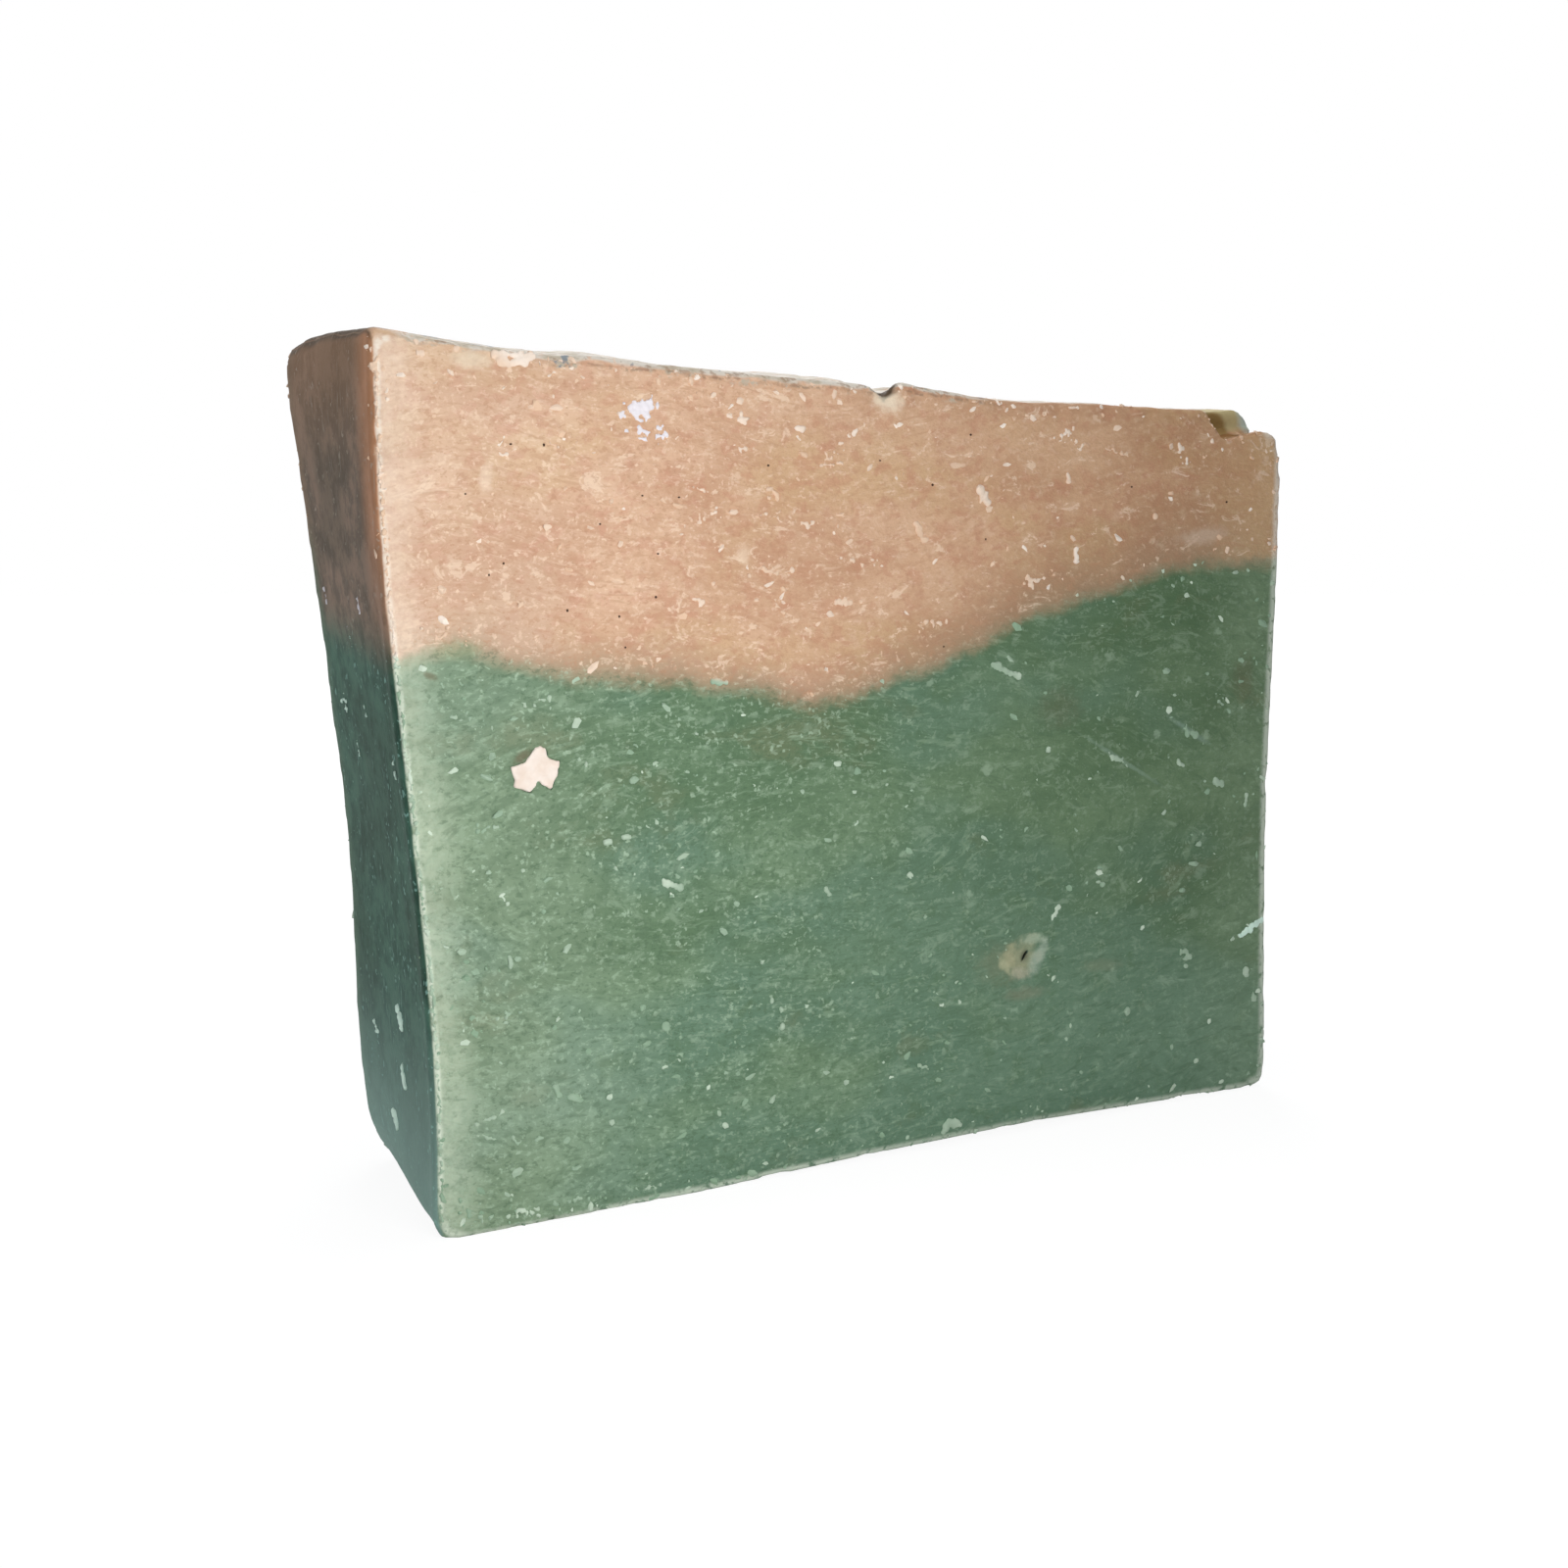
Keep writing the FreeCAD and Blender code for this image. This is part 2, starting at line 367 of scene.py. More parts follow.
def keep_on(mesh, name, values):
    """Stores one number a corner, for the materials to read."""
    layer = mesh.attributes.new(name, "FLOAT", "POINT")
    layer.data.foreach_set("value", values.astype(np.float32))


# The bar

def rounded_corner(places, picked, top, radius):
    """Draws the picked places in to a round upper right corner."""
    x, z = places[:, 0] - (RIGHT - radius), places[:, 2] - (top - radius)
    reach = np.hypot(x, z)
    outside = picked & (x > 0) & (z > 0) & (reach > radius)
    places[outside, 0] -= (x * (1 - radius / np.maximum(reach, 1e-6)))[outside]
    places[outside, 2] -= (z * (1 - radius / np.maximum(reach, 1e-6)))[outside]


def worn(places, facing, rim):
    """Moves the even skin's corners to where wear and the pour left them."""
    x, y, z = places.T
    upward = rise(facing[:, 2], 0.3, 0.8)
    flat = 1 - rise(np.maximum(upward, rise(-facing[:, 0], 0.3, 0.8)), 0, 1)

    # Hand-cut faces wave a little, the poured top is lumpier, and the rims crumble
    crumble = np.maximum(0, uneven(places, RIM_CRUMBLE))
    frail = 0.3 + 0.7 * np.maximum(0.4 * rise(-z, -9, -1), rise(z, 55, 62))
    push = uneven(places, FACE_WAVES) * flat
    push += uneven(places, TOP_LUMPS) * upward * rise(rim, 0.2, 1.8)
    push -= CRUMBLE_DEPTH * frail * crumble * np.exp(-(rim / CRUMBLE_REACH) ** 2)
    push[z < 0.25] = np.minimum(push[z < 0.25], 0)

    # The two ends, the top and the foot
    depth_share = (y - FRONT) / (BACK - FRONT)
    left_wall = REAR_WALL_LEAN * depth_share + LEFT_WALL
    at_rear_left = rise(left_wall - x, -4.5, -0.6) * rise(depth_share, 0.15, 0.95)
    sideways = read_off(REAR_LEFT_SHIFT, z) * at_rear_left
    sideways += read_off(RIGHT_END_SHIFT, z) * rise(x, RIGHT - 5, RIGHT - 1)
    upwards = read_off(TOP_RISE, x) * rise(z, 58, 65) * rise(y, FRONT + 0.3, FRONT + 3)
    foot = read_off(FOOT_EDGE_LIFT, x)
    foot *= np.exp(-(z / FOOT_EDGE_HEIGHT) ** 2) * (1 - rise(y, FRONT + 0.4, FRONT + 3.6))

    # The crest stands up at the front, and the ledge rises to its back and to the right
    at_crest = rise(z, 60.5, 65.5) * (1 - rise(y, FRONT + 0.6, FRONT + 2.2))
    upwards += read_off(CREST_RISE, x) * at_crest
    at_ledge = rise(x, 38.5, 40) * rise(z, 61, 63.3) * (1 - rise(z, 64.4, 65.2))
    to_back_or_right = np.maximum(rise(y, FRONT + 0.3, FRONT + 2.2), rise(x, 41, 43.5))
    upwards += LEDGE_RISE * at_ledge * to_back_or_right
    at_left_edge = 1 - rise(from_left_edge(places), 0.5, 2.5)
    at_left_edge *= 1 - rise(y, FRONT + 0.5, FRONT + 2.5)
    sideways -= EDGE_SHIFT * at_left_edge

    places = places + facing * push[:, None]
    places[:, 0] += sideways
    places[:, 2] = np.maximum(np.maximum(places[:, 2], 0) + upwards + foot, 0)
    behind = y > FRONT + NOTCH_DEPTH - 0.3
    rounded_corner(places, ~behind & (z > 60), LEDGE_TOP, LEDGE_ROUND)
    rounded_corner(places, behind, KNOB_TOP, KNOB_ROUND)
    return places


def make_bar():
    """Both pours as one worn skin, with a pocket for the scrap and the air pocket's slit."""
    near, far = SLIT_FILLING_DEPTHS
    slit_filling = prism(SLIT_FILLING, SLIT_PLACE, FRONT + near, FRONT + far)
    solids = [closed_solid(node) for node in ("green_layer", "peach_layer", "pale_chip")]
    bar = skinned("soap_bar", solids + [slit_filling], BAR_GRAIN)
    mesh = bar.data
    places = vertices_of(mesh)
    front_rim, back_rim = distance_to(FRONT_RIM, places), distance_to(BACK_RIM, places)
    place_vertices(mesh, worn(places, normals_of(mesh), np.minimum(front_rim, back_rim)))
    keep_on(mesh, "front_rim", front_rim)
    keep_on(mesh, "back_rim", back_rim)

    low, high = box_of("pale_chip")
    middle = ((low + high) / 2)[[0, 2]]
    cut_out(bar, prism(SCRAP_OUTLINE, middle, FRONT - CLEARANCE, high[1]))
    cut_out(bar, prism(SLIT_OUTLINE, SLIT_PLACE, FRONT - CLEARANCE, FRONT + SLIT_DEPTH))
    cut_out(bar, prism(HOLLOW_OUTLINE, (0, 0), FRONT - CLEARANCE, FRONT + HOLLOW_DEPTH))

    # The corners that the cuts made hold 0, which would read as on the rim
    mesh = bar.data
    for name in ("front_rim", "back_rim"):
        layer = mesh.attributes[name].data
        values = np.empty(len(layer), np.float32)
        layer.foreach_get("value", values)
        layer.foreach_set("value", np.where(values == 0, WELL_INSIDE, values))
    places = vertices_of(mesh)
    keep_on(mesh, "border", above_border(places))
    keep_on(mesh, "from_left", from_left_edge(places))
    return bar


def make_scrap():
    """The pale scrap that the cut went through, a hair proud of the face."""
    low, high = box_of("pale_chip")
    middle = ((low + high) / 2)[[0, 2]]
    shape = prism(SCRAP_OUTLINE, middle, FRONT - SCRAP_PROUD, high[1])
    scrap = skinned("pale_scrap", [shape], SCRAP_GRAIN)
    places, facing = vertices_of(scrap.data), normals_of(scrap.data)
    place_vertices(scrap.data, places + facing * uneven(places, SCRAP_BUMPS)[:, None])
    return scrap


bar = make_bar()
scrap = make_scrap()
BAR_SURFACE = surface_of(bar.data)


# Flakes of dried lather and grit, at listed places

def seen_from(outside, direction):
    """The first point of the bar in a direction, or else the point of it that is nearest."""
    hit = BAR_SURFACE.ray_cast(Vector(outside) * MM, Vector(direction))[0]
    if hit is None:
        hit = BAR_SURFACE.find_nearest((Vector(outside) + Vector(direction) * 10) * MM)[0]
    return np.array(hit) / MM


def on_front(x, z):
    """The point of the front face at this x and z."""
    return seen_from((x, FRONT - 10, z), (0, 1, 0))


def on_side(y, z):
    """The point of the left side at this depth and height."""
    return seen_from((LEFT - 10, y, z), (1, 0, 0))


def lump(middle, reach, finish=3):
    """A closed rounded lump, from its middle and its half sizes."""
    shape = bmesh.new()
    bmesh.ops.create_icosphere(shape, subdivisions=finish, radius=1)
    for vertex in shape.verts:
        vertex.co = [(m + r * c) * MM for m, r, c in zip(middle, reach, vertex.co)]
    return shape


# Each flake: its line on the face, and how wide it is. A line that comes round makes a ring.
FRONT_FLAKES = (
    ((-36.1, 68.45), (-35.6, 68.0), (-34.76, 67.8), (-33.94, 68.0), (-33.2, 68.35),
     (-32.6, 68.75), 0.8),
    ((-35.4, 68.5), (-34.6, 68.45), (-33.8, 68.6), 0.6),
    ((36.45, 65.9), (37.0, 65.1), (37.5, 64.6), 0.17),
    ((-35.35, 62.31), (-35.93, 61.63), (-35.86, 61.04), (-35.29, 60.9), (-34.62, 61.36),
     (-34.53, 61.96), 0.24),
    ((-41.42, 23.62), (-40.94, 23.34), (-40.45, 23.29), 0.28),
    ((-37.68, 21.52), (-37.77, 21.06), (-37.45, 20.64), (-37.03, 20.9), (-37.02, 21.37), 0.2),
    ((-45.76, 67.5), (-45.78, 67.1), 0.5), ((-42.5, 68.35), (-42.0, 68.35), 0.5), ((-39.1, 68.7), 0.55),
    ((-45.94, 64.51), (-45.7, 64.7), 0.4), ((-44.87, 64.83), 0.4),
    ((-21.76, 14.64), 0.75), ((-32.78, 21.08), 0.48), ((-34.27, 28.68), 0.7), ((-26.99, 30.51), 0.7),
    ((-25.21, 30.63), 0.8), ((33.82, 5.67), 0.6), ((36.94, 3.9), 0.7), ((28.04, 9.89), 0.75),
    ((21.26, 9.24), 0.55), ((8.32, 13.19), 0.6), ((24.66, 22.29), 0.75), ((34.69, 20.78), 0.65),
    ((-10.44, 13.26), 0.6), ((-35.54, 21.6), (-35.5, 21.2), 0.75),
    ((-21.86, 26.62), (-21.04, 26.39), (-20.31, 26.16), 0.6),
    ((11.72, 43.31), (12.6, 42.93), (13.6, 42.37), (14.49, 42.16), 0.7),
    ((3.15, 55.77), (3.47, 55.18), (3.89, 54.43), 0.75),
    ((10.07, 58.67), (10.41, 57.99), (10.84, 57.65), 0.8),
    ((20.92, 53.39), (20.94, 52.33), 0.6),
    ((20.7, 63.3), (20.6, 62.68), (21.18, 62.26), (21.62, 62.79), (21.38, 63.4), 0.22),
    ((24.15, 62.57), (25.2, 62.42), (26.03, 62.08), (26.97, 61.92), 0.34),
    ((34.63, 14.72), (35.37, 14.93), (35.9, 14.2), (35.15, 14.09), 0.55),
    ((18.88, 19.71), (19.32, 20.3), (19.55, 20.74), 0.5),
    ((42.53, 15.54), (43.68, 16.2), (44.6, 16.67), (45.4, 16.85), 0.72), ((35.38, 13.4), 0.5),
    ((43.3, 12.12), (43.5, 11.5), 0.8), ((44.4, 9.6), (44.5, 8.9), 0.6),
    ((-17.18, 43.03), (-16.44, 42.76), (-15.78, 42.89), 0.6), ((-31.56, 10.29), (-31.81, 11.05), 0.65),
    ((-30.34, 10.03), (-29.64, 9.61), 0.8), ((-35.56, 7.43), (-35.4, 6.85), (-34.8, 6.99), 0.22),
    ((-33.6, 6.89), (-33.08, 6.97), 0.4), ((-38.75, 8.08), (-38.01, 7.81), (-37.34, 7.47), 0.28),
    ((-38.57, 8.92), (-37.9, 9.14), (-37.23, 9.28), (-36.63, 9.58), 0.3),
    ((-30.42, 3.95), (-29.89, 4.03), 0.4),
    ((-28.8, 36.85), 0.5), ((-29.31, 37.12), 0.3), ((-11.43, 15.67), 0.5), ((-10.54, 14.72), 0.5),
    ((6.94, 1.79), (7.59, 2.23), (8.36, 1.75), 0.8), ((3.85, 7.81), (4.71, 7.52), 0.35),
    ((-6.1, 24.71), (-5.7, 24.16), 0.55), ((20.07, 66.1), (21.0, 66.0), 0.4),
    ((-31.71, 62.09), (-31.22, 61.72), 0.3),
    ((35.0, 36.0), (35.8, 35.8), 0.7),
    ((38.6, 31.1), (39.7, 30.6), 0.8), ((42.7, 29.4), (42.7, 28.5), 0.6),
    ((25.6, 34.2), (26.5, 33.9), 0.55), ((18.1, 35.4), 0.6),
    ((34.4, 32.9), (33.9, 33.2), 0.5), ((-11.6, 58.5), (-10.9, 57.9), 0.6),
    ((-8.7, 55.9), (-7.8, 55.5), (-7.4, 55.8), 0.34), ((19.9, 60.1), (20.0, 59.5), 0.5),
    ((10.0, 58.4), (10.6, 58.6), (10.8, 57.7), (10.1, 57.6), 0.28), ((30.2, 56.4), 0.5),
    ((-11.2, 49.4), (-10.6, 48.6), (-10.0, 48.1), 0.3), ((-2.6, 49.1), 0.55),
    ((-13.6, 51.5), 0.45), ((-13.0, 49.5), 0.5),
    ((-7.4, 60.5), (-5.8, 60.6), (-4.5, 60.8), 0.24),
    ((-19.3, 58.8), (-18.3, 58.5), (-17.6, 58.3), 0.22),
    ((-31.6, 67.0), (-31.1, 67.3), 0.3), ((-4.7, 52.8), 0.4),
    ((-1.5, 52.7), 0.42), ((-17.1, 51.0), 0.45),
)
SIDE_FLAKES = (
    ((-2.3, 16.6), (-2.9, 15.9), (-3.1, 15.3), 0.95), ((-2.6, 11.8), (-2.9, 11.0), (-3.1, 10.3), 0.75),
    ((0.8, 7.2), (0.3, 6.5), 1.0), ((5.05, 14.06), (4.4, 13.44), 0.6),
    ((1.28, 47.49), (0.49, 45.96), 0.18), ((-1.12, 41.71), (-2.1, 40.22), 0.2),
    ((5.9, 41.7), (5.2, 40.3), 0.34), ((6.6, 41.2), (4.6, 41.4), 0.3),
    ((-3.4, 49.9), (-3.7, 48.9), 0.3), ((8.0, 50.5), (7.8, 49.2), 0.24),
    ((-8.9, 37.6), (-9.1, 36.4), 0.3), ((3.0, 38.2), (2.7, 36.8), 0.2),
)

# How far apart a flake's lumps lie along its line, before its width is counted
FLAKE_STEP = 0.35

# Flakes narrower than the first number stray by the second, as a share of their width, and
# the others by the third
THIN_FLAKE, THIN_STRAY, STRAY = 0.36, 0.4, 0.16

# The tone of the whitest flakes, where 1 is the palest of the others
WHITEST = 1.3

# The burr along the front's left edge: from which height to which, and how wide
BURR_SPAN, BURR_WIDTH = (1.4, 68.4), 0.3

# The whitest flakes lie round these places on the front: x, z and how far round
BLOTCHES = ((-23.2, 64.0, 2.4), (44.0, 16.3, 2.0))

# Lacy clusters of small flakes on the front: middle, half sizes, turn, how many, how wide each
CLUSTERS = (
    (26.9, 33.8, 3.6, 1.0, -0.5, 8, 0.24), (35.1, 36.2, 2.4, 0.8, -0.5, 7, 0.3),
    (38.7, 39.3, 0.4, 1.6, 0.3, 8, 0.3),
    (-23.4, 64.9, 1.2, 0.8, 0.0, 26, 0.5), (-23.6, 63.2, 0.8, 1.1, 0.3, 16, 0.42),
    (-22.0, 62.8, 0.7, 0.6, 0.0, 8, 0.42), (15.9, 50.6, 1.25, 0.5, 0.2, 16, 0.42),
    (19.5, 63.5, 1.3, 0.6, 0.6, 14, 0.36), (33.3, 62.7, 0.5, 0.3, 0.2, 5, 0.42),
    (-34.6, 49.7, 1.2, 0.4, 0.0, 8, 0.3), (-40.6, 47.3, 2.4, 0.7, -0.1, 14, 0.26),
    (-39.5, 43.5, 2.2, 1.2, 0.0, 16, 0.28), (-38.2, 40.8, 2.4, 0.8, -0.2, 14, 0.28),
    (-33.0, 41.8, 1.4, 0.9, 0.3, 9, 0.3), (-36.2, 26.8, 0.6, 0.4, 0.0, 6, 0.32),
    (-36.0, 17.2, 1.4, 0.5, 0.0, 9, 0.26), (-37.5, 32.4, 1.4, 0.35, 0.15, 9, 0.3),
    (-33.8, 1.2, 2.4, 0.35, 0.05, 18, 0.36), (-29.6, 1.3, 2.6, 0.35, 0.0, 14, 0.34),
    (-22.8, 1.3, 3.0, 0.3, 0.0, 10, 0.32), (-39.6, 1.9, 1.8, 0.9, -0.6, 16, 0.34),
    (7.6, 2.0, 0.9, 0.5, 0.3, 7, 0.5), (17.0, 2.0, 1.6, 0.3, 0.0, 5, 0.32),
    (-17.9, 56.2, 2.6, 0.6, 0.2, 10, 0.3), (-5.5, 61.3, 2.6, 0.7, 0.5, 12, 0.3),
    (-3.0, 52.6, 3.2, 0.5, -0.1, 10, 0.3), (-11.0, 56.5, 2.2, 1.0, -0.2, 10, 0.32),
    (-14.4, 64.2, 0.9, 0.4, 0.0, 10, 0.4), (-8.5, 63.6, 0.6, 0.35, 0.0, 7, 0.46),
    (-3.9, 63.0, 1.4, 0.35, 0.6, 12, 0.34), (-14.1, 61.8, 1.5, 0.3, 0.0, 9, 0.26),
    (-11.0, 51.9, 1.9, 0.35, 0.0, 13, 0.38), (-4.4, 49.1, 1.1, 0.45, 0.0, 11, 0.42),
    (-18.5, 49.6, 1.1, 0.4, -0.3, 9, 0.36), (4.4, 47.1, 2.0, 0.45, 0.1, 13, 0.36),
    (10.3, 58.0, 0.5, 0.6, 0.0, 6, 0.36), (33.9, 61.6, 1.3, 0.5, -0.4, 8, 0.34),
    (-24.9, 64.5, 1.6, 0.8, 0.4, 9, 0.3), (-20.6, 62.6, 1.2, 0.6, 0.2, 8, 0.3),
)

# Dark grit in the peach pour: where each speck is on the front
GRIT = (
    (-38.72, 58.0), (-32.11, 61.79), (-20.21, 57.85), (-23.54, 57.96), (-27.33, 55.72), (-34.9, 61.8),
    (-35.65, 52.73), (-36.88, 51.86), (-30.28, 49.0), (-25.7, 48.43), (-22.15, 53.36), (-22.38, 49.9),
    (-25.17, 45.95), (-0.68, 61.05), (4.84, 59.05), (8.88, 63.41), (10.71, 54.36), (39.2, 57.74),
    (-11.81, 60.49), (27.4, 59.07), (6.2, 45.05),
)


def flake_lumps(rows, reach_surface, flat_axis, chance):
    """Flattened lumps strung along each flake's line."""
    lumps = []
    for *line, width in rows:
        line = np.array(line)
        runs = np.hypot(*np.diff(line, axis=0).T) if len(line) > 1 else np.array([0.0])
        along = np.concatenate([[0], np.cumsum(runs)])[:len(line)]
        count = max(1, round(along[-1] / (FLAKE_STEP * 0.5 + width * 0.35)) + 1)
        stray = THIN_STRAY if width < THIN_FLAKE else STRAY
        for step in np.linspace(0, along[-1], count):
            spot = [np.interp(step, along, line[:, axis]) for axis in (0, 1)]
            spot += chance.uniform(-stray, stray, 2) * width
            reach = width / 2 * chance.uniform(0.7 - stray, 1.2 + stray, 3)
            reach[flat_axis] = min(0.2, 0.1 + 0.14 * width)
            lumps.append(lump(reach_surface(*spot), reach))
    return lumps


def cluster_lumps(chance):
    """Small flattened lumps scattered thickly round each cluster's middle."""
    lumps = []
    for x, z, half_width, half_height, turn, count, width in CLUSTERS:
        for _ in range(count):
            along, up = chance.normal(0, 0.5, 2) * (half_width, half_height)
            spot = (x + along * math.cos(turn) - up * math.sin(turn),
                    max(0.3, z + along * math.sin(turn) + up * math.cos(turn)))
            reach = width / 2 * chance.uniform(0.4, 1.5, 3)
            reach[1] = 0.12
            lumps.append(lump(on_front(*spot), reach))
    return lumps


def left_burr():
    """The thin dried burr along the front's left edge, as one long flake."""
    heights = np.arange(*BURR_SPAN, 0.5)
    starts = np.column_stack([np.zeros_like(heights), np.zeros_like(heights), heights])
    edge = -from_left_edge(starts) - EDGE_SHIFT + 0.06
    return (*zip(edge, heights), BURR_WIDTH)


def make_flakes():
    chance = np.random.default_rng(21)
    lumps = flake_lumps(FRONT_FLAKES, on_front, 1, chance)
    lumps += flake_lumps(SIDE_FLAKES, on_side, 0, chance)
    lumps += cluster_lumps(chance)
    lumps += flake_lumps([left_burr()], on_front, 1, chance)
    flakes = skinned("pale_flakes", lumps, FLAKE_GRAIN)
    places, facing = vertices_of(flakes.data), normals_of(flakes.data)
    places += facing * uneven(places, FLAKE_BUMPS)[:, None]
    places[:, 2] = np.maximum(places[:, 2], 0)
    place_vertices(flakes.data, places)
    keep_on(flakes.data, "border", above_border(places))
    tone = 0.6 + 0.6 * ripples(places, 3, 14)
    tone[places[:, 1] > FRONT + 1.5] = WHITEST
    for x, z, reach in BLOTCHES:
        tone[np.hypot(places[:, 0] - x, places[:, 2] - z) < reach] = WHITEST
    keep_on(flakes.data, "tone", tone)
    return flakes


def make_grit():
    chance = np.random.default_rng(22)
    lumps = [lump(on_front(*spot), chance.uniform(0.07, 0.13, 3) * (1, 0.8, 1), 2) for spot in GRIT]
    return new_object("dark_grit", mesh_from(lumps, "dark_grit"))


flakes = make_flakes()
grit = make_grit()


# Crumbs strewn over the faces and caught along the edges: how wide and how high their bumps
# are, and how far they tilt
CRUMB_BUMP, CRUMB_SHOVE, CRUMB_TILT = 0.3, 0.45, 0.3

# How long, wide and thick crumbs are for their size, and how much rarer large ones are
CRUMB_SHAPE = ((0.9, 1.9), (0.6, 1.0), (0.35, 0.6))
MOST_ARE_SMALL = 2.2


def wired(tree, kind, inputs=None, **settings):
    """Adds a node, with its settings, and its inputs given as numbers or as other outputs."""
    node = tree.nodes.new(kind)
    for key, value in settings.items():
        setattr(node, key, value)
    for key, value in (inputs or {}).items():
        if isinstance(value, bpy.types.NodeSocket):
            tree.links.new(value, node.inputs[key])
        else:
            node.inputs[key].default_value = value
    return node


def crumb_tree():
    """Strews flat crumbs over a mesh, as thickly as its crumb_chance says."""
    tree = bpy.data.node_groups.new("strewn_crumbs", "GeometryNodeTree")
    tree.is_modifier = True
    names = (
        ("Face", "NodeSocketGeometry"), ("Crumbs per mm2", "NodeSocketFloat"),
        ("Smallest", "NodeSocketFloat"), ("Largest", "NodeSocketFloat"),
        ("Turn", "NodeSocketFloat"), ("Seed", "NodeSocketInt"), ("Material", "NodeSocketMaterial"),
    )
    for name, kind in names:
        tree.interface.new_socket(name=name, in_out="INPUT", socket_type=kind)
    tree.interface.new_socket(name="Crumbs", in_out="OUTPUT", socket_type="NodeSocketGeometry")
    given = tree.nodes.new("NodeGroupInput").outputs

    def step(kind, inputs, **settings):
        return wired(tree, kind, inputs, **settings).outputs[0]

    def maths(operation, first, second):
        return step("ShaderNodeMath", {0: first, 1: second}, operation=operation)

    def chance(low, high, salt):
        inputs = {2: low, 3: high, 8: maths("ADD", given["Seed"], salt)}
        return wired(tree, "FunctionNodeRandomValue", inputs, data_type="FLOAT").outputs[1]

    weight = step("GeometryNodeInputNamedAttribute", {"Name": "crumb_chance"}, data_type="FLOAT")
    per_square_metre = maths("MULTIPLY", given["Crumbs per mm2"], 1 / MM ** 2)
    spots = wired(tree, "GeometryNodeDistributePointsOnFaces", {
        "Mesh": given["Face"], "Density": maths("MULTIPLY", weight, per_square_metre),
        "Seed": given["Seed"],
    }, distribute_method="RANDOM").outputs
    toned = step("GeometryNodeStoreNamedAttribute", {
        "Geometry": spots["Points"], "Name": "tone", "Value": chance(0.0, 1.0, 1),
    }, data_type="FLOAT", domain="POINT")
    skew = maths("POWER", chance(0.0, 1.0, 2), MOST_ARE_SMALL)
    span = maths("SUBTRACT", given["Largest"], given["Smallest"])
    size = maths("MULTIPLY", maths("ADD", given["Smallest"], maths("MULTIPLY", span, skew)), MM / 2)
    scale = step("ShaderNodeCombineXYZ", {
        axis: maths("MULTIPLY", size, chance(low, high, 3 + axis))
        for axis, (low, high) in enumerate(CRUMB_SHAPE)
    })
    turn = chance(maths("MULTIPLY", given["Turn"], -1.0), given["Turn"], 6)
    spin = step("ShaderNodeCombineXYZ", {
        0: chance(-CRUMB_TILT, CRUMB_TILT, 7), 1: chance(-CRUMB_TILT, CRUMB_TILT, 8), 2: turn,
    })
    turned = step("FunctionNodeRotateRotation", {
        0: spots["Rotation"], 1: step("FunctionNodeEulerToRotation", {0: spin}),
    }, rotation_space="LOCAL")
    laid = step("GeometryNodeInstanceOnPoints", {
        "Points": toned, "Rotation": turned, "Scale": scale,
        "Instance": step("GeometryNodeMeshIcoSphere", {"Radius": 1.0, "Subdivisions": 1}),
    })
    real = step("GeometryNodeRealizeInstances", {0: laid})
    bumps = wired(tree, "ShaderNodeTexNoise", {"Scale": 1 / (CRUMB_BUMP * MM), "Detail": 1.0})
    centred = step("ShaderNodeVectorMath", {
        0: bumps.outputs["Color"], 1: (0.5, 0.5, 0.5),
    }, operation="SUBTRACT")
    shove = step("ShaderNodeVectorMath", {0: centred, 3: CRUMB_SHOVE * MM}, operation="SCALE")
    ragged = step("GeometryNodeSetPosition", {0: real, "Offset": shove})
    coated = step("GeometryNodeSetMaterial", {"Geometry": ragged, "Material": given["Material"]})
    output = tree.nodes.new("NodeGroupOutput")
    tree.links.new(coated, output.inputs[0])
    return tree


def strewn(name, tree, weights, amounts, material):
    """Crumbs on the bar, for a weight from 0 to 1 at each corner of its mesh."""
    piece = new_object(name, bar.data.copy())
    keep_on(piece.data, "crumb_chance", weights)
    growth = piece.modifiers.new("crumbs", "NODES")
    growth.node_group = tree
    inputs = {
        item.name: item.identifier for item in tree.interface.items_tree if item.in_out == "INPUT"
    }
    for title, value in amounts.items():
        growth[inputs[title]] = value
    growth[inputs["Material"]] = material
    finished(piece)
    return piece


# Materials

def linear(tone):
    """A node's output as it is, or the linear colour of a screen colour of 0 to 255."""
    if isinstance(tone, bpy.types.NodeSocket):
        return tone
    shares = [value / 255 for value in tone]
    return (*(v / 12.92 if v <= 0.04045 else ((v + 0.055) / 1.055) ** 2.4 for v in shares), 1.0)


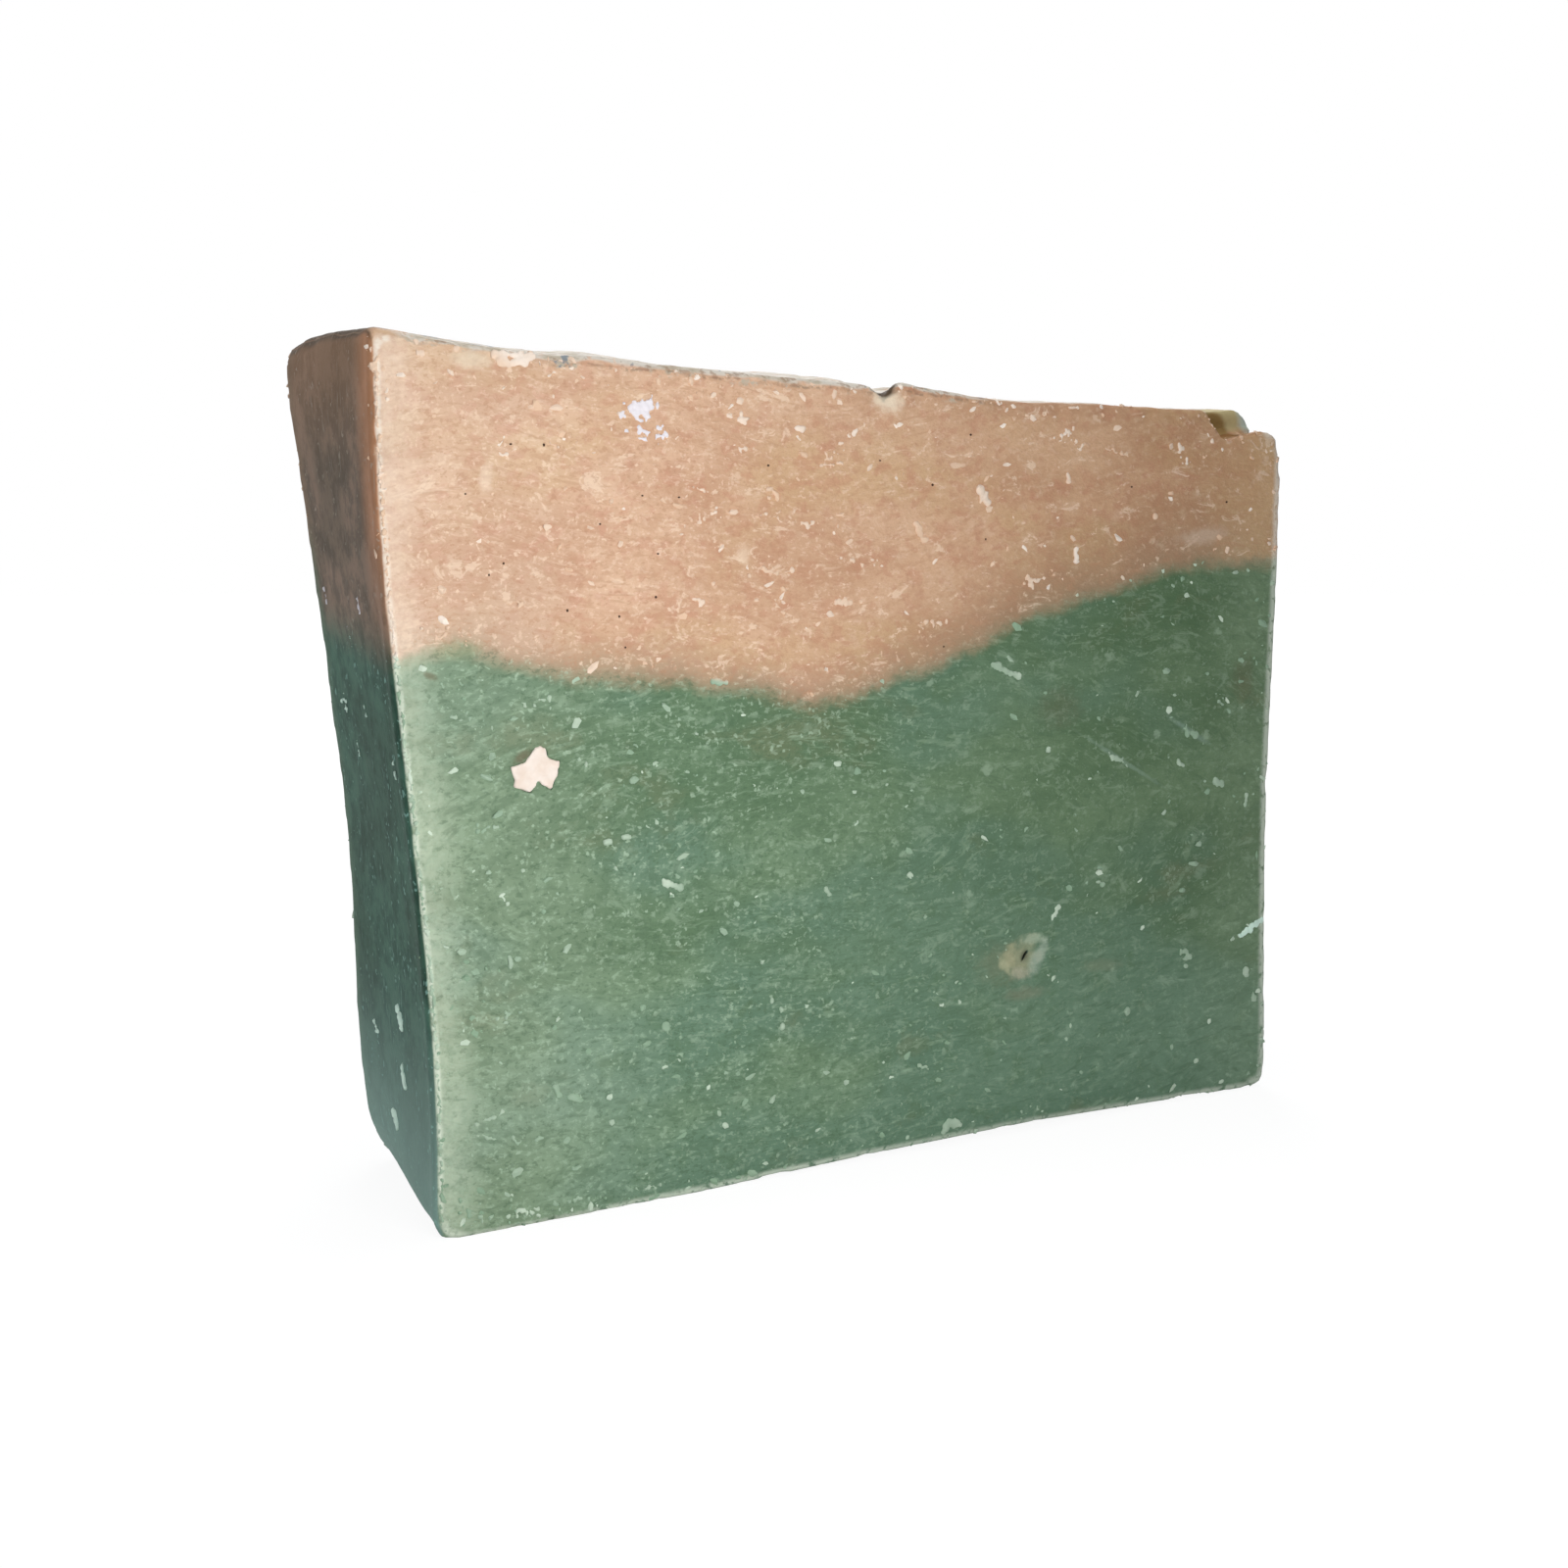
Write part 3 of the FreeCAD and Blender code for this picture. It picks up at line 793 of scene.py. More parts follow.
class Recipe:
    """A material's nodes, added one step at a time. Sizes are in mm."""

    def __init__(self, name):
        self.material = bpy.data.materials.new(name)
        self.material.use_nodes = True
        self.tree = self.material.node_tree
        self.tree.nodes.clear()
        self.output = self.tree.nodes.new("ShaderNodeOutputMaterial")
        place = self.add("ShaderNodeTexCoord").outputs["Object"]
        self.place = self.step("ShaderNodeVectorMath", {0: place, 3: 1 / MM}, operation="SCALE")
        self.x, self.y, self.z = self.add("ShaderNodeSeparateXYZ", {0: self.place}).outputs

    def add(self, kind, inputs=None, **settings):
        return wired(self.tree, kind, inputs, **settings)

    def step(self, kind, inputs, **settings):
        """Adds a node and gives its first output."""
        return self.add(kind, inputs, **settings).outputs[0]

    def maths(self, operation, first, second=0.0):
        return self.step("ShaderNodeMath", {0: first, 1: second}, operation=operation)

    def plus(self, first, second):
        return self.maths("ADD", first, second)

    def times(self, first, *others):
        for other in others:
            first = self.maths("MULTIPLY", first, other)
        return first

    def more(self, first, *others):
        for other in others:
            first = self.maths("MAXIMUM", first, other)
        return first

    def rise(self, value, low, high):
        """0 at low, 1 at high, smooth between; low may be the larger."""
        inputs = {"Value": value, "From Min": low, "From Max": high}
        return self.step("ShaderNodeMapRange", inputs, interpolation_type="SMOOTHSTEP")

    def blend(self, share, first, second, how="MIX"):
        """Mixes two colours, each a screen colour or another output."""
        inputs = {0: share, 6: linear(first), 7: linear(second)}
        return self.add("ShaderNodeMix", inputs, data_type="RGBA", blend_type=how).outputs[2]

    def layered(self, under, *layers):
        """Lays colours over one another. Each layer is a mask, a share and a screen colour."""
        for mask, share, tone in layers:
            under = self.blend(self.times(mask, share), under, tone)
        return under

    def tinted(self, share, first, second):
        """Multiplies by a colour, by a share."""
        return self.blend(share, first, second, "MULTIPLY")

    def kept(self, name):
        """A number stored on the mesh."""
        return self.add("ShaderNodeAttribute", attribute_name=name).outputs["Fac"]

    def vector(self, x, y, z):
        return self.step("ShaderNodeCombineXYZ", {0: x, 1: y, 2: z})

    def length(self, vector):
        inputs = {0: vector}
        return self.add("ShaderNodeVectorMath", inputs, operation="LENGTH").outputs["Value"]

    def stretched(self, stretch, turn=0.0, seed=0.0, place=None):
        inputs = {
            "Vector": place or self.place,
            "Location": (seed * 13.7, seed * 7.1, seed * 3.9),
            "Rotation": (0, turn, 0),
            "Scale": [1 / s for s in stretch],
        }
        return self.step("ShaderNodeMapping", inputs)

    def cloud(self, size, detail=3.0, rough=0.55, stretch=(1, 1, 1), turn=0.0, seed=0.0,
              curl=0.0, place=None):
        """Soft random patches from 0 to 1, about size wide."""
        inputs = {
            "Vector": place or self.stretched(stretch, turn, seed), "Scale": 1 / size,
            "Detail": detail, "Roughness": rough, "Distortion": curl,
        }
        return self.step("ShaderNodeTexNoise", inputs)

    def warped(self, size, amount):
        """Places pushed about at random, by up to half of amount."""
        inputs = {"Vector": self.place, "Scale": 1 / size, "Detail": 2.0}
        push = self.add("ShaderNodeTexNoise", inputs).outputs["Color"]
        inputs = {0: push, 1: (amount, amount, amount), 2: self.place}
        return self.step("ShaderNodeVectorMath", inputs, operation="MULTIPLY_ADD")

    def specks(self, place, spacing, radius, share, stretch=(1, 1, 1), turn=0.0, seed=0.0):
        """Scattered specks: 1 inside a speck. share is how many of the places hold one."""
        inputs = {"Vector": self.stretched(stretch, turn, seed, place), "Scale": 1 / spacing}
        cells = self.add("ShaderNodeTexVoronoi", inputs)
        chance = self.add("ShaderNodeSeparateColor", {0: cells.outputs["Color"]})
        reach = self.times(chance.outputs[1], radius / spacing)
        held = self.maths("LESS_THAN", chance.outputs[0], share)
        inside = self.rise(cells.outputs["Distance"], reach, self.times(reach, 0.55))
        return self.times(inside, held)

    def patch(self, middle, reach, turn, ragged, unevenness, soft):
        """1 in an oval round a place, fading to 0 at a rim that a cloud makes ragged."""
        inputs = {"Vector": self.place, "Location": middle, "Rotation": (0, turn, 0), "Scale": reach}
        away = self.length(self.step("ShaderNodeMapping", inputs, vector_type="TEXTURE"))
        uneven = self.times(self.plus(ragged, -0.5), unevenness)
        return self.rise(self.plus(away, uneven), 1.0, 1.0 - soft)

    def bump(self, height, depth, strength=1.0):
        """Surface relief: depth in mm is how deep a height of 1 is."""
        inputs = {"Strength": strength, "Distance": depth * MM, "Height": height}
        return self.step("ShaderNodeBump", inputs)

    def soap(self, base, rough, normal):
        inputs = {
            "Base Color": base, "Roughness": rough, "Normal": normal,
            "Specular IOR Level": 0.2, "IOR": 1.45,
        }
        shader = self.step("ShaderNodeBsdfPrincipled", inputs)
        self.tree.links.new(shader, self.output.inputs[0])
        return self.material


# Broad changes of tone on the front: x, z, half width, half height, share, colour
TONE_CHANGES = (
    (-32.4, 10.2, 13, 9, 0.28, (148, 172, 150)), (34.3, 8.3, 15, 8, 0.34, (122, 150, 124)),
    (-10.3, 52.1, 15, 9, 0.36, (182, 136, 104)), (-35.2, 49.3, 9, 5.5, 0.5, (196, 160, 134)),
    (19.8, 62.7, 13, 4.5, 0.5, (226, 188, 152)),
)

# Bruises round the nick and the air pocket, stains, drag marks and a pale band on the front:
# x, z, half width, half height, turn, share, colour
STAINS = (
    (0.1, 66.2, 2.3, 1.4, 0.1, 0.85, (246, 228, 202)),
    (-38.1, 68.1, 2.2, 1.1, 0.0, 0.6, (236, 218, 192)),
    (-37.0, 59.2, 0.8, 1.8, 0.1, 0.45, (244, 222, 198)),
    (36.4, 54.6, 4.4, 1.1, -0.12, 0.75, (206, 178, 154)),
    (-14.2, 53.2, 0.9, 1.1, 0.0, 0.5, (244, 220, 192)),
    (26.9, 33.8, 7.5, 0.3, 0.5, 0.3, (160, 184, 168)),
    (35.1, 36.2, 4.5, 0.4, 0.5, 0.3, (160, 184, 172)),
    (19.4, 39.1, 3.6, 2.6, 0.0, 0.35, (96, 96, 70)),
    (41.9, 41.1, 2.0, 3.0, 0.0, 0.35, (98, 92, 68)),
    (25.7, 56.5, 1.1, 0.8, 0.0, 0.4, (216, 178, 150)),
    (SLIT_PLACE[0] - 2.6, 16.0, 4.4, 2.7, 0.1, 0.4, (124, 126, 98)),
    (SLIT_PLACE[0] + 9.0, 14.6, 3.6, 0.9, 0.05, 0.25, (138, 138, 112)),
    (SLIT_PLACE[0] - 0.2, 13.0, 3.2, 0.9, 0.0, 0.3, (142, 130, 108)),
    (15.6, 16.4, 2.9, 2.2, -0.5, 0.62, (180, 178, 144)),
    (14.0, 16.5, 1.6, 1.5, 0.0, 0.4, (208, 200, 160)),
    (16.8, 17.9, 2.0, 0.7, 0.0, 0.4, (194, 208, 184)),
    (17.4, 16.2, 2.6, 0.9, -1.1, 0.45, (190, 202, 186)),
    (15.3, 14.9, 1.7, 0.8, 0.1, 0.35, (208, 198, 178)),
    (13.6, 15.7, 1.7, 0.6, 0.8, 0.3, (206, 206, 168)),
    (-34.3, 37.7, 1.3, 0.6, -0.5, 0.75, (108, 100, 78)),
    (-41.9, 44.3, 0.85, 0.36, 0.5, 0.6, (112, 104, 78)),
    (-39.6, 46.2, 3.0, 1.2, 0.0, 0.2, (160, 172, 128)),
)
STAIN_DEPTH = 2

# Inside the broken corner, the nick and the slit: middle, half sizes, colour. The first two colour the
# knob, lighter and greyer to its right; the others are painted shade in the corner's hollow and on its
# ledge, and in the nick and the slit.
HOLLOW_TONES_AND_SHADE = (
    ((RIGHT - 3.6, FRONT + 5.4, 66.0), (4.8, 2.6, 2.8), (200, 182, 134)),
    ((RIGHT - 0.2, FRONT + 5.4, 66.0), (2.0, 2.6, 2.8), (206, 212, 196)),
    ((RIGHT - 4.9, FRONT + 3.9, 64.9), (2.3, 1.9, 1.9), (148, 118, 70)),
    ((RIGHT - 4.6, FRONT + 1.9, 64.1), (4.0, 1.7, 0.7), (158, 120, 78)),
    ((0.3, FRONT + 1.0, 66.9), (2.2, 1.1, 1.1), (80, 62, 44)),
    ((SLIT_PLACE[0] + 0.1, FRONT + 1.7, 16.4), (1.4, 1.45, 1.5), (34, 38, 30)),
)

# How far the left wall leans to the right for each mm towards the rear
WALL_LEAN = 0.13


# Steps of the cut soap's recipe

def find_places(r):
    """Keeps on the recipe where a spot is: on which face, and how far from the edges."""
    r.border, r.front_rim, r.from_left = r.kept("border"), r.kept("front_rim"), r.kept("from_left")
    normal = r.add("ShaderNodeNewGeometry").outputs["Normal"]
    sideways, forward, r.upward = r.add("ShaderNodeSeparateXYZ", {0: normal}).outputs
    r.crown = r.rise(r.upward, 0.45, 0.75)
    r.on_front = r.rise(forward, -0.6, -0.9)
    r.from_wall = r.plus(r.from_left, r.times(r.plus(r.y, -FRONT), -WALL_LEAN))
    behind_edge = r.rise(r.y, FRONT + 0.8, FRONT + 2.4)
    over_top = r.times(r.rise(r.from_wall, 2.0, 0.8), r.rise(r.z, 60, 64), behind_edge)
    r.side = r.more(r.rise(r.maths("ABSOLUTE", sideways), 0.55, 0.85), r.times(r.crown, over_top))


def find_clouds(r):
    """Keeps on the recipe the clouds that several steps share, and which pour a spot is in."""
    r.wide = r.cloud(13, 2, stretch=(1.5, 1, 0.8), seed=3)
    r.broad = r.cloud(9, 3, stretch=(1.7, 1, 0.8), seed=1)
    r.fine = r.cloud(2.4, 4, 0.68, stretch=(1.25, 1, 1), seed=2)
    r.ragged = r.cloud(0.9, 3, 0.6, seed=9)
    r.grain = r.cloud(0.42, 3, 0.65, stretch=(1.6, 1, 1), seed=15)
    r.crowd = r.rise(r.plus(r.times(r.broad, 0.4), r.times(r.fine, 0.6)), 0.44, 0.58)

    # The pours meet over a couple of millimetres
    wander = r.times(r.plus(r.cloud(5, 2, seed=8), -0.5), 2.4)
    r.level = r.plus(r.border, r.plus(wander, r.times(r.plus(r.ragged, -0.5), 0.9)))
    r.is_peach = r.rise(r.level, -0.5, 0.5)


def streaked(r):
    """Light and dark short streaks, along the border in the peach pour and round a swirl in
    the green one."""
    away = r.length(r.vector(
        r.times(r.plus(r.x, -SWIRL[0]), 1 / SWIRL_STRETCH), 0.0, r.plus(r.z, -SWIRL[1])
    ))
    bend = r.plus(away, r.times(r.wide, 6))
    is_green = r.plus(1.0, r.times(r.is_peach, -1.0))
    across = r.plus(r.times(r.border, r.is_peach), r.times(bend, is_green))
    lines = r.vector(
        r.times(r.x, 1 / 2.6), r.times(r.plus(r.y, r.z), 1 / 3.4), r.times(across, 1 / 0.42)
    )
    streaks = r.cloud(1.0, 3, 0.6, place=lines, curl=0.3)
    streaky = r.rise(r.plus(r.times(r.broad, 0.5), r.times(r.fine, 0.5)), 0.44, 0.56)
    light = r.times(r.rise(streaks, 0.54, 0.66), streaky)
    dark = r.times(r.rise(streaks, 0.46, 0.34), r.plus(1.0, r.times(streaky, -0.7)))
    return light, dark


def both_pours(r, light_streaks):
    """The peach pour, with ochre and pink blotches, over the green, bluer low down, both darker towards
    the right, partly as painted shade.
    """
    # Darker towards the right: partly painted shade, added to the front lamp's own fall-off
    rightward_shade = r.rise(r.x, LEFT + 6, RIGHT)
    pink = r.cloud(1.3, 3, 0.6, stretch=(1.4, 1, 1), seed=30)
    peach = r.layered(
        r.blend(r.rise(r.broad, 0.36, 0.62), (224, 186, 156), (204, 161, 131)),
        (r.rise(r.wide, 0.46, 0.62), 0.5, (212, 178, 136)),
        (r.rise(r.fine, 0.50, 0.66), 0.5, (200, 150, 124)),
        (r.rise(r.fine, 0.46, 0.34), 0.45, (232, 200, 174)),
        (r.rise(pink, 0.52, 0.62), 0.35, (202, 142, 118)),
        (light_streaks, 0.3, (240, 212, 186)),
    )
    peach = r.tinted(rightward_shade, peach, (236, 228, 214))

    bluer = r.plus(r.wide, r.times(r.rise(r.z, 34, 4), 0.15))
    green = r.layered(
        r.blend(r.rise(r.broad, 0.36, 0.64), (116, 142, 112), (94, 121, 91)),
        (r.rise(bluer, 0.48, 0.66), 0.55, (104, 135, 116)),
        (r.rise(r.plus(r.broad, r.times(r.fine, 0.4)), 0.78, 0.92), 0.35, (130, 130, 100)),
        (r.rise(r.fine, 0.50, 0.66), 0.5, (92, 120, 90)),
        (light_streaks, 0.4, (150, 176, 148)),
    )
    # The green also darkens towards the right, partly as painted shade
    green = r.tinted(r.times(rightward_shade, r.rise(r.z, 4, 30)), green, (232, 232, 222))

    seam = r.times(r.rise(r.level, 4.0, 0.6), r.rise(r.level, -1.6, 0.2))
    shown_through = r.times(r.rise(r.level, 9, 1), r.is_peach, r.rise(r.x, -14, 18))
    base = r.layered(
        r.blend(r.rise(r.level, -1.6, 1.6), green, peach),
        (seam, 0.5, (172, 142, 118)),
        (shown_through, 0.45, (158, 128, 98)),
    )
    for x, z, half_width, half_height, share, tone in TONE_CHANGES:
        reach = (half_width, STAIN_DEPTH, half_height)
        spot = r.patch((x, FRONT, z), reach, 0.0, r.fine, 0.8, 0.95)
        base = r.layered(base, (spot, share, tone))
    return base


def dried_and_lit(r, base):
    """Dry skin fades in from the left end, and painted light makes the front paler near the right end.
    Gives the colour, and how far from the skin a spot is.
    """
    reach = r.plus(r.from_left, r.times(r.plus(r.plus(r.fine, r.broad), -1.0), 3.0))
    mottled = r.plus(0.3, r.times(r.rise(r.ragged, 0.34, 0.6), 0.26))
    near = r.times(r.rise(reach, 4.4, -0.8), mottled)
    band = r.plus(r.times(r.rise(reach, 24, 2), 0.17), near)
    dry = r.blend(r.is_peach, (204, 216, 190), (242, 220, 198))
    base = r.blend(r.times(band, r.on_front), base, dry)

    # Painted light: the front is paler towards the right edge
    share = r.plus(0.22, r.times(r.is_peach, 0.22))
    right_edge_light = r.times(r.rise(r.x, RIGHT - 12, RIGHT - 1), r.on_front, share)
    base = r.blend(right_edge_light, base, r.blend(r.is_peach, (150, 172, 140), (222, 186, 140)))
    return base, r.rise(band, 0.6, 0.12)


def marked(r, base, dark_streaks, away):
    """Pale dust, drag marks and crumbs in the cut face, with dull hollows between them."""
    warp = r.warped(0.6, 1.1)
    r.dust = r.specks(warp, 0.6, 0.3, 0.55, seed=10)
    crumbs = r.specks(warp, 1.9, 0.6, 0.35, (1.4, 1, 1), turn=-0.5, seed=19)
    wisps = r.cloud(1.5, 4, 0.72, stretch=(1.9, 1, 1), turn=-0.2, seed=27, curl=0.7)
    dusty = r.plus(0.45, r.times(r.rise(r.x, 16, -16), 0.55))
    marks = r.more(
        r.times(r.dust, dusty, r.plus(0.12, r.times(r.crowd, 0.5))),
        r.times(crumbs, 0.36),
        r.times(r.rise(wisps, 0.54, 0.68), 0.26),
        r.times(r.rise(wisps, 0.60, 0.635), r.is_peach, 0.5),
        r.times(r.rise(r.grain, 0.56, 0.66), dusty, 0.35),
    )
    marks = r.times(marks, r.plus(0.7, r.times(away, 0.3)))
    base = r.blend(marks, base, r.blend(r.is_peach, (176, 198, 172), (248, 224, 198)))
    hollows = r.more(
        r.times(dark_streaks, 0.4),
        r.times(r.rise(r.grain, 0.45, 0.36), dusty, 0.45),
        r.times(r.rise(wisps, 0.46, 0.34), 0.34),
    )
    hollows = r.times(hollows, r.plus(0.4, r.times(away, 0.6)))
    return r.blend(hollows, base, r.blend(r.is_peach, (74, 100, 74), (190, 142, 110)))


def mould_side(r):
    """The ends are smoother, scratched upright, and rubbed pale at the foot. Their tones are darker
    than the cut faces', partly painted shade, and lighter towards the foot, partly painted bounce light
    from the table.
    """
    is_peach = r.rise(r.level, -2.4, 2.8)
    # Tones darker than the cut faces': partly painted shade
    tone = r.blend(is_peach, (63, 100, 84), (135, 114, 98))
    tone = r.tinted(r.rise(r.fine, 0.40, 0.62), tone, (196, 202, 202))
    tone = r.tinted(r.rise(r.wide, 0.42, 0.58), tone, (212, 216, 212))
    tone = r.layered(tone, (r.rise(r.z, 58, 72), 0.4, (184, 140, 106)))
    rear = r.times(r.rise(r.kept("back_rim"), 3.6, 0.8), 0.7)
    rear_tone = r.blend(r.rise(r.z, 50, 58), (86, 110, 92), (134, 112, 92))
    tone = r.blend(rear, tone, rear_tone)
    # Lighter towards the foot: partly rubbing, partly painted bounce light from the table
    tone = r.layered(tone, (r.rise(r.z, 22, -4), 0.85, (146, 176, 166)))

    # A painted glow of light shining through the peach at the front edge, and the top's left edge is
    # dark
    painted_glow = r.times(r.rise(r.front_rim, 5.5, 1.5), 0.5)
    painted_glow = r.more(painted_glow, r.times(r.rise(r.front_rim, 1.1, 0.15), 0.75))
    painted_glow = r.times(painted_glow, is_peach, r.rise(r.border, -2, 12))
    tone = r.blend(painted_glow, tone, (214, 148, 104))
    tone = r.tinted(r.rise(r.upward, 0.15, 0.6), tone, (150, 158, 162))

    scratches = r.cloud(0.28, 2, 0.5, (1, 1, 9), seed=24)
    scratched = r.times(r.rise(scratches, 0.60, 0.70), r.rise(r.fine, 0.46, 0.60), 0.3)
    rubbed = r.more(r.crowd, r.rise(r.z, 9, 1), r.rise(r.front_rim, 4, 1))
    scratched = r.more(scratched, r.times(r.dust, rubbed, 0.5))
    scratch_tone = r.blend(is_peach, (150, 196, 184), (178, 166, 152))
    return r.blend(scratched, tone, scratch_tone)


def with_worn_rims_and_highlight(r, base):
    """Pale lines along the front's left and foot edges, where they are worn, and a painted highlight
    along its right edge.
    """
    at_left = r.times(r.rise(r.from_left, 1.2, 0.6), r.rise(r.front_rim, 0.42, 0.12))
    # A painted highlight along the right edge
    right_highlight = r.rise(r.x, RIGHT - 2.4, RIGHT - 1.4)
    right_highlight = r.times(right_highlight, r.rise(r.front_rim, 0.95, 0.3), 0.85)
    at_foot = r.times(r.rise(r.z, 1.8, 0.5), r.rise(r.front_rim, 0.6, 0.15), 0.9)
    # rubbed holds the worn left and foot edges and the painted highlight on the right
    rubbed = r.times(r.more(at_left, right_highlight, at_foot), r.rise(r.ragged, 0.32, 0.5), 0.85)
    return r.blend(rubbed, base, r.blend(r.is_peach, (222, 230, 212), (248, 236, 220)))


def with_ash(r, base):
    """The poured top has a crust of ash, with blue-grey specks, that spills over the front
    edge, and a dark line runs under the crest."""
    cloud = r.cloud(2.2, 4, 0.65, seed=13)
    spilled = r.times(
        r.rise(r.front_rim, 0.6, 0.2), r.rise(r.z, 63, 65), r.rise(r.fine, 0.52, 0.60)
    )
    crust = r.times(
        r.more(r.crown, spilled), r.rise(r.z, 64.9, 65.4),
        r.more(r.rise(r.x, 14, 7), r.rise(r.front_rim, 0.8, 2.4)),
        r.rise(r.from_wall, 0.9, 2.6),
    )
    near_rim = r.plus(0.22, r.times(r.rise(r.front_rim, 6, 1.5), 0.78))
    ash = r.layered(
        r.blend(r.rise(r.fine, 0.45, 0.62), (224, 214, 200), (196, 182, 160)),
        (r.times(r.rise(cloud, 0.59, 0.64), near_rim), 0.8, (112, 128, 140)),
        (r.times(r.rise(r.ragged, 0.54, 0.64), near_rim), 0.6, (156, 120, 92)),
    )
    base = r.blend(r.times(crust, r.rise(cloud, 0.32, 0.42)), base, ash)
    crest = r.times(
        r.rise(r.z, 62.5, 64.5), r.rise(r.front_rim, 0.34, 0.1), r.rise(r.ragged, 0.44, 0.58),
        r.rise(r.x, 16, 6), r.rise(r.x, -36, -28),
    )
    return r.layered(base, (crest, 0.6, (118, 92, 72)))


def cut_soap():
    """Peach over green, mottled, dragged by the cut and flecked with paler crumbs."""
    r = Recipe("cut_soap")
    find_places(r)
    find_clouds(r)
    light_streaks, dark_streaks = streaked(r)
    base, away = dried_and_lit(r, both_pours(r, light_streaks))
    base = marked(r, base, dark_streaks, away)
    for x, z, half_width, half_height, turn, share, tone in STAINS:
        reach = (half_width, STAIN_DEPTH, half_height)
        spot = r.patch((x, FRONT, z), reach, turn, r.ragged, 1.0, 0.75)
        base = r.layered(base, (spot, share, tone))
    base = r.blend(r.side, base, mould_side(r))
    base = with_ash(r, with_worn_rims_and_highlight(r, base))
    # The knob's tones, and painted shade in the hollows, the nick and the slit
    for middle, reach, tone in HOLLOW_TONES_AND_SHADE:
        base = r.blend(r.patch(middle, reach, 0.0, r.ragged, 0.3, 0.4), base, tone)

    relief = r.plus(r.grain, r.times(r.fine, 1.5))
    normal = r.bump(relief, 0.12, r.plus(0.85, r.times(r.side, -0.4)))
    return r.soap(base, r.plus(0.58, r.times(r.fine, 0.2)), normal)


def pale_soap():
    """Creamy scrap soap with a faint pink cast."""
    r = Recipe("pale_soap")
    base = r.blend(r.rise(r.cloud(1.5, seed=1), 0.35, 0.7), (244, 230, 218), (234, 214, 198))
    normal = r.bump(r.cloud(0.3, 4, 0.6, seed=2), 0.05, 0.7)
    return r.soap(base, 0.7, normal)


def crumb_soap():
    """Dried crumbs: cream on the peach pour and pale green on the green one."""
    r = Recipe("crumb_soap")
    tone = r.kept("tone")
    share = r.maths("POWER", r.maths("MINIMUM", tone, 1.0), 2.2)
    on_green = r.blend(share, (142, 169, 142), (212, 226, 206))
    on_peach = r.blend(share, (230, 196, 166), (250, 236, 222))
    base = r.blend(r.rise(r.kept("border"), -0.3, 0.3), on_green, on_peach)
    whitest = r.blend(r.rise(r.kept("border"), -0.3, 0.3), (222, 246, 230), (238, 232, 236))
    base = r.blend(r.rise(tone, 1.0, 1.25), base, whitest)
    normal = r.bump(r.cloud(0.2, 3, 0.6, seed=3), 0.04, 0.8)
    return r.soap(base, 0.7, normal)


def grit_finish():
    r = Recipe("grit")
    base = r.blend(r.cloud(0.1, seed=4), (50, 36, 28), (92, 62, 44))
    return r.soap(base, 0.6, r.bump(r.cloud(0.1, 3, seed=5), 0.02))


def dress(piece, material):
    """Gives a piece its material and its slot, and fixes it to the part's one body."""
    piece.data.materials.clear()
    piece.data.materials.append(material)
    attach(piece, "root")


def crumb_weights():
    """Where crumbs lie: strewn over the cut faces in clumps, and thick along the rims."""
    places, facing = vertices_of(bar.data), normals_of(bar.data)
    x, y, z = places.T
    cut_face = rise(np.abs(facing[:, 1]), 0.8, 0.95)
    clumps = rise(ripples(places, 5, 31), -0.1, 0.5)
    fine_clumps = rise(ripples(places, 1.8, 32), 0.0, 0.45)
    scrap_left = box_of("pale_chip")[0][0]
    off_scrap = rise(np.hypot(x - scrap_left - SCRAP_HALF_WIDTH, z - SCRAP_HEIGHT), 2.4, 3.4)
    off_pit = rise(np.hypot(x - SLIT_PLACE[0], z - SLIT_PLACE[1]), 1.8, 3.0)
    at_border = np.exp(-(above_border(places) / 1.2) ** 2) * rise(x, 0, 12)
    faces = 0.12 + 0.45 * clumps + 0.75 * fine_clumps * clumps + 0.5 * at_border
    faces *= cut_face * off_scrap * off_pit

    rim = np.minimum(distance_to(FRONT_RIM, places), distance_to(BACK_RIM, places))
    foot, crest = rise(-z, -4, -1), rise(z, 58, 63)
    frail = np.maximum(foot, 0.7 * crest)
    frail = np.maximum(frail, 0.25)
    edges = np.exp(-(rim / 0.8) ** 2) * frail * (0.25 + 0.75 * fine_clumps) * (z > 0.25)
    return faces, edges


dress(bar, cut_soap())
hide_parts("green_layer", "peach_layer")
dress(scrap, pale_soap())
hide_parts("pale_chip")
crumb_material = crumb_soap()
dress(flakes, crumb_material)
dress(grit, grit_finish())

tree = crumb_tree()
face_weights, edge_weights = crumb_weights()
face_crumbs = strewn("face_crumbs", tree, face_weights, {
    "Crumbs per mm2": 0.26, "Smallest": 0.2, "Largest": 0.85, "Turn": 0.9, "Seed": 5,
}, crumb_material)
edge_crumbs = strewn("edge_crumbs", tree, edge_weights, {
    "Crumbs per mm2": 3.0, "Smallest": 0.16, "Largest": 0.66, "Turn": 3.1, "Seed": 9,
}, crumb_material)
for crumbs in (face_crumbs, edge_crumbs):
    dress(crumbs, crumb_material)


# Table, lamps and camera

def camera_or_mirror(recipe_tree):
    """1 for rays that the camera, a reflection or glass sees directly."""
    path = recipe_tree.nodes.new("ShaderNodeLightPath")
    total = path.outputs["Is Camera Ray"]
    for name in ("Is Glossy Ray", "Is Transmission Ray"):
        inputs = {0: total, 1: path.outputs[name]}
        total = wired(recipe_tree, "ShaderNodeMath", inputs, operation="MAXIMUM").outputs[0]
    return total


# The room's light, and the table's radius in metres
AMBIENT = (0.135, 0.155, 0.175)
TABLE_RADIUS = 1.5

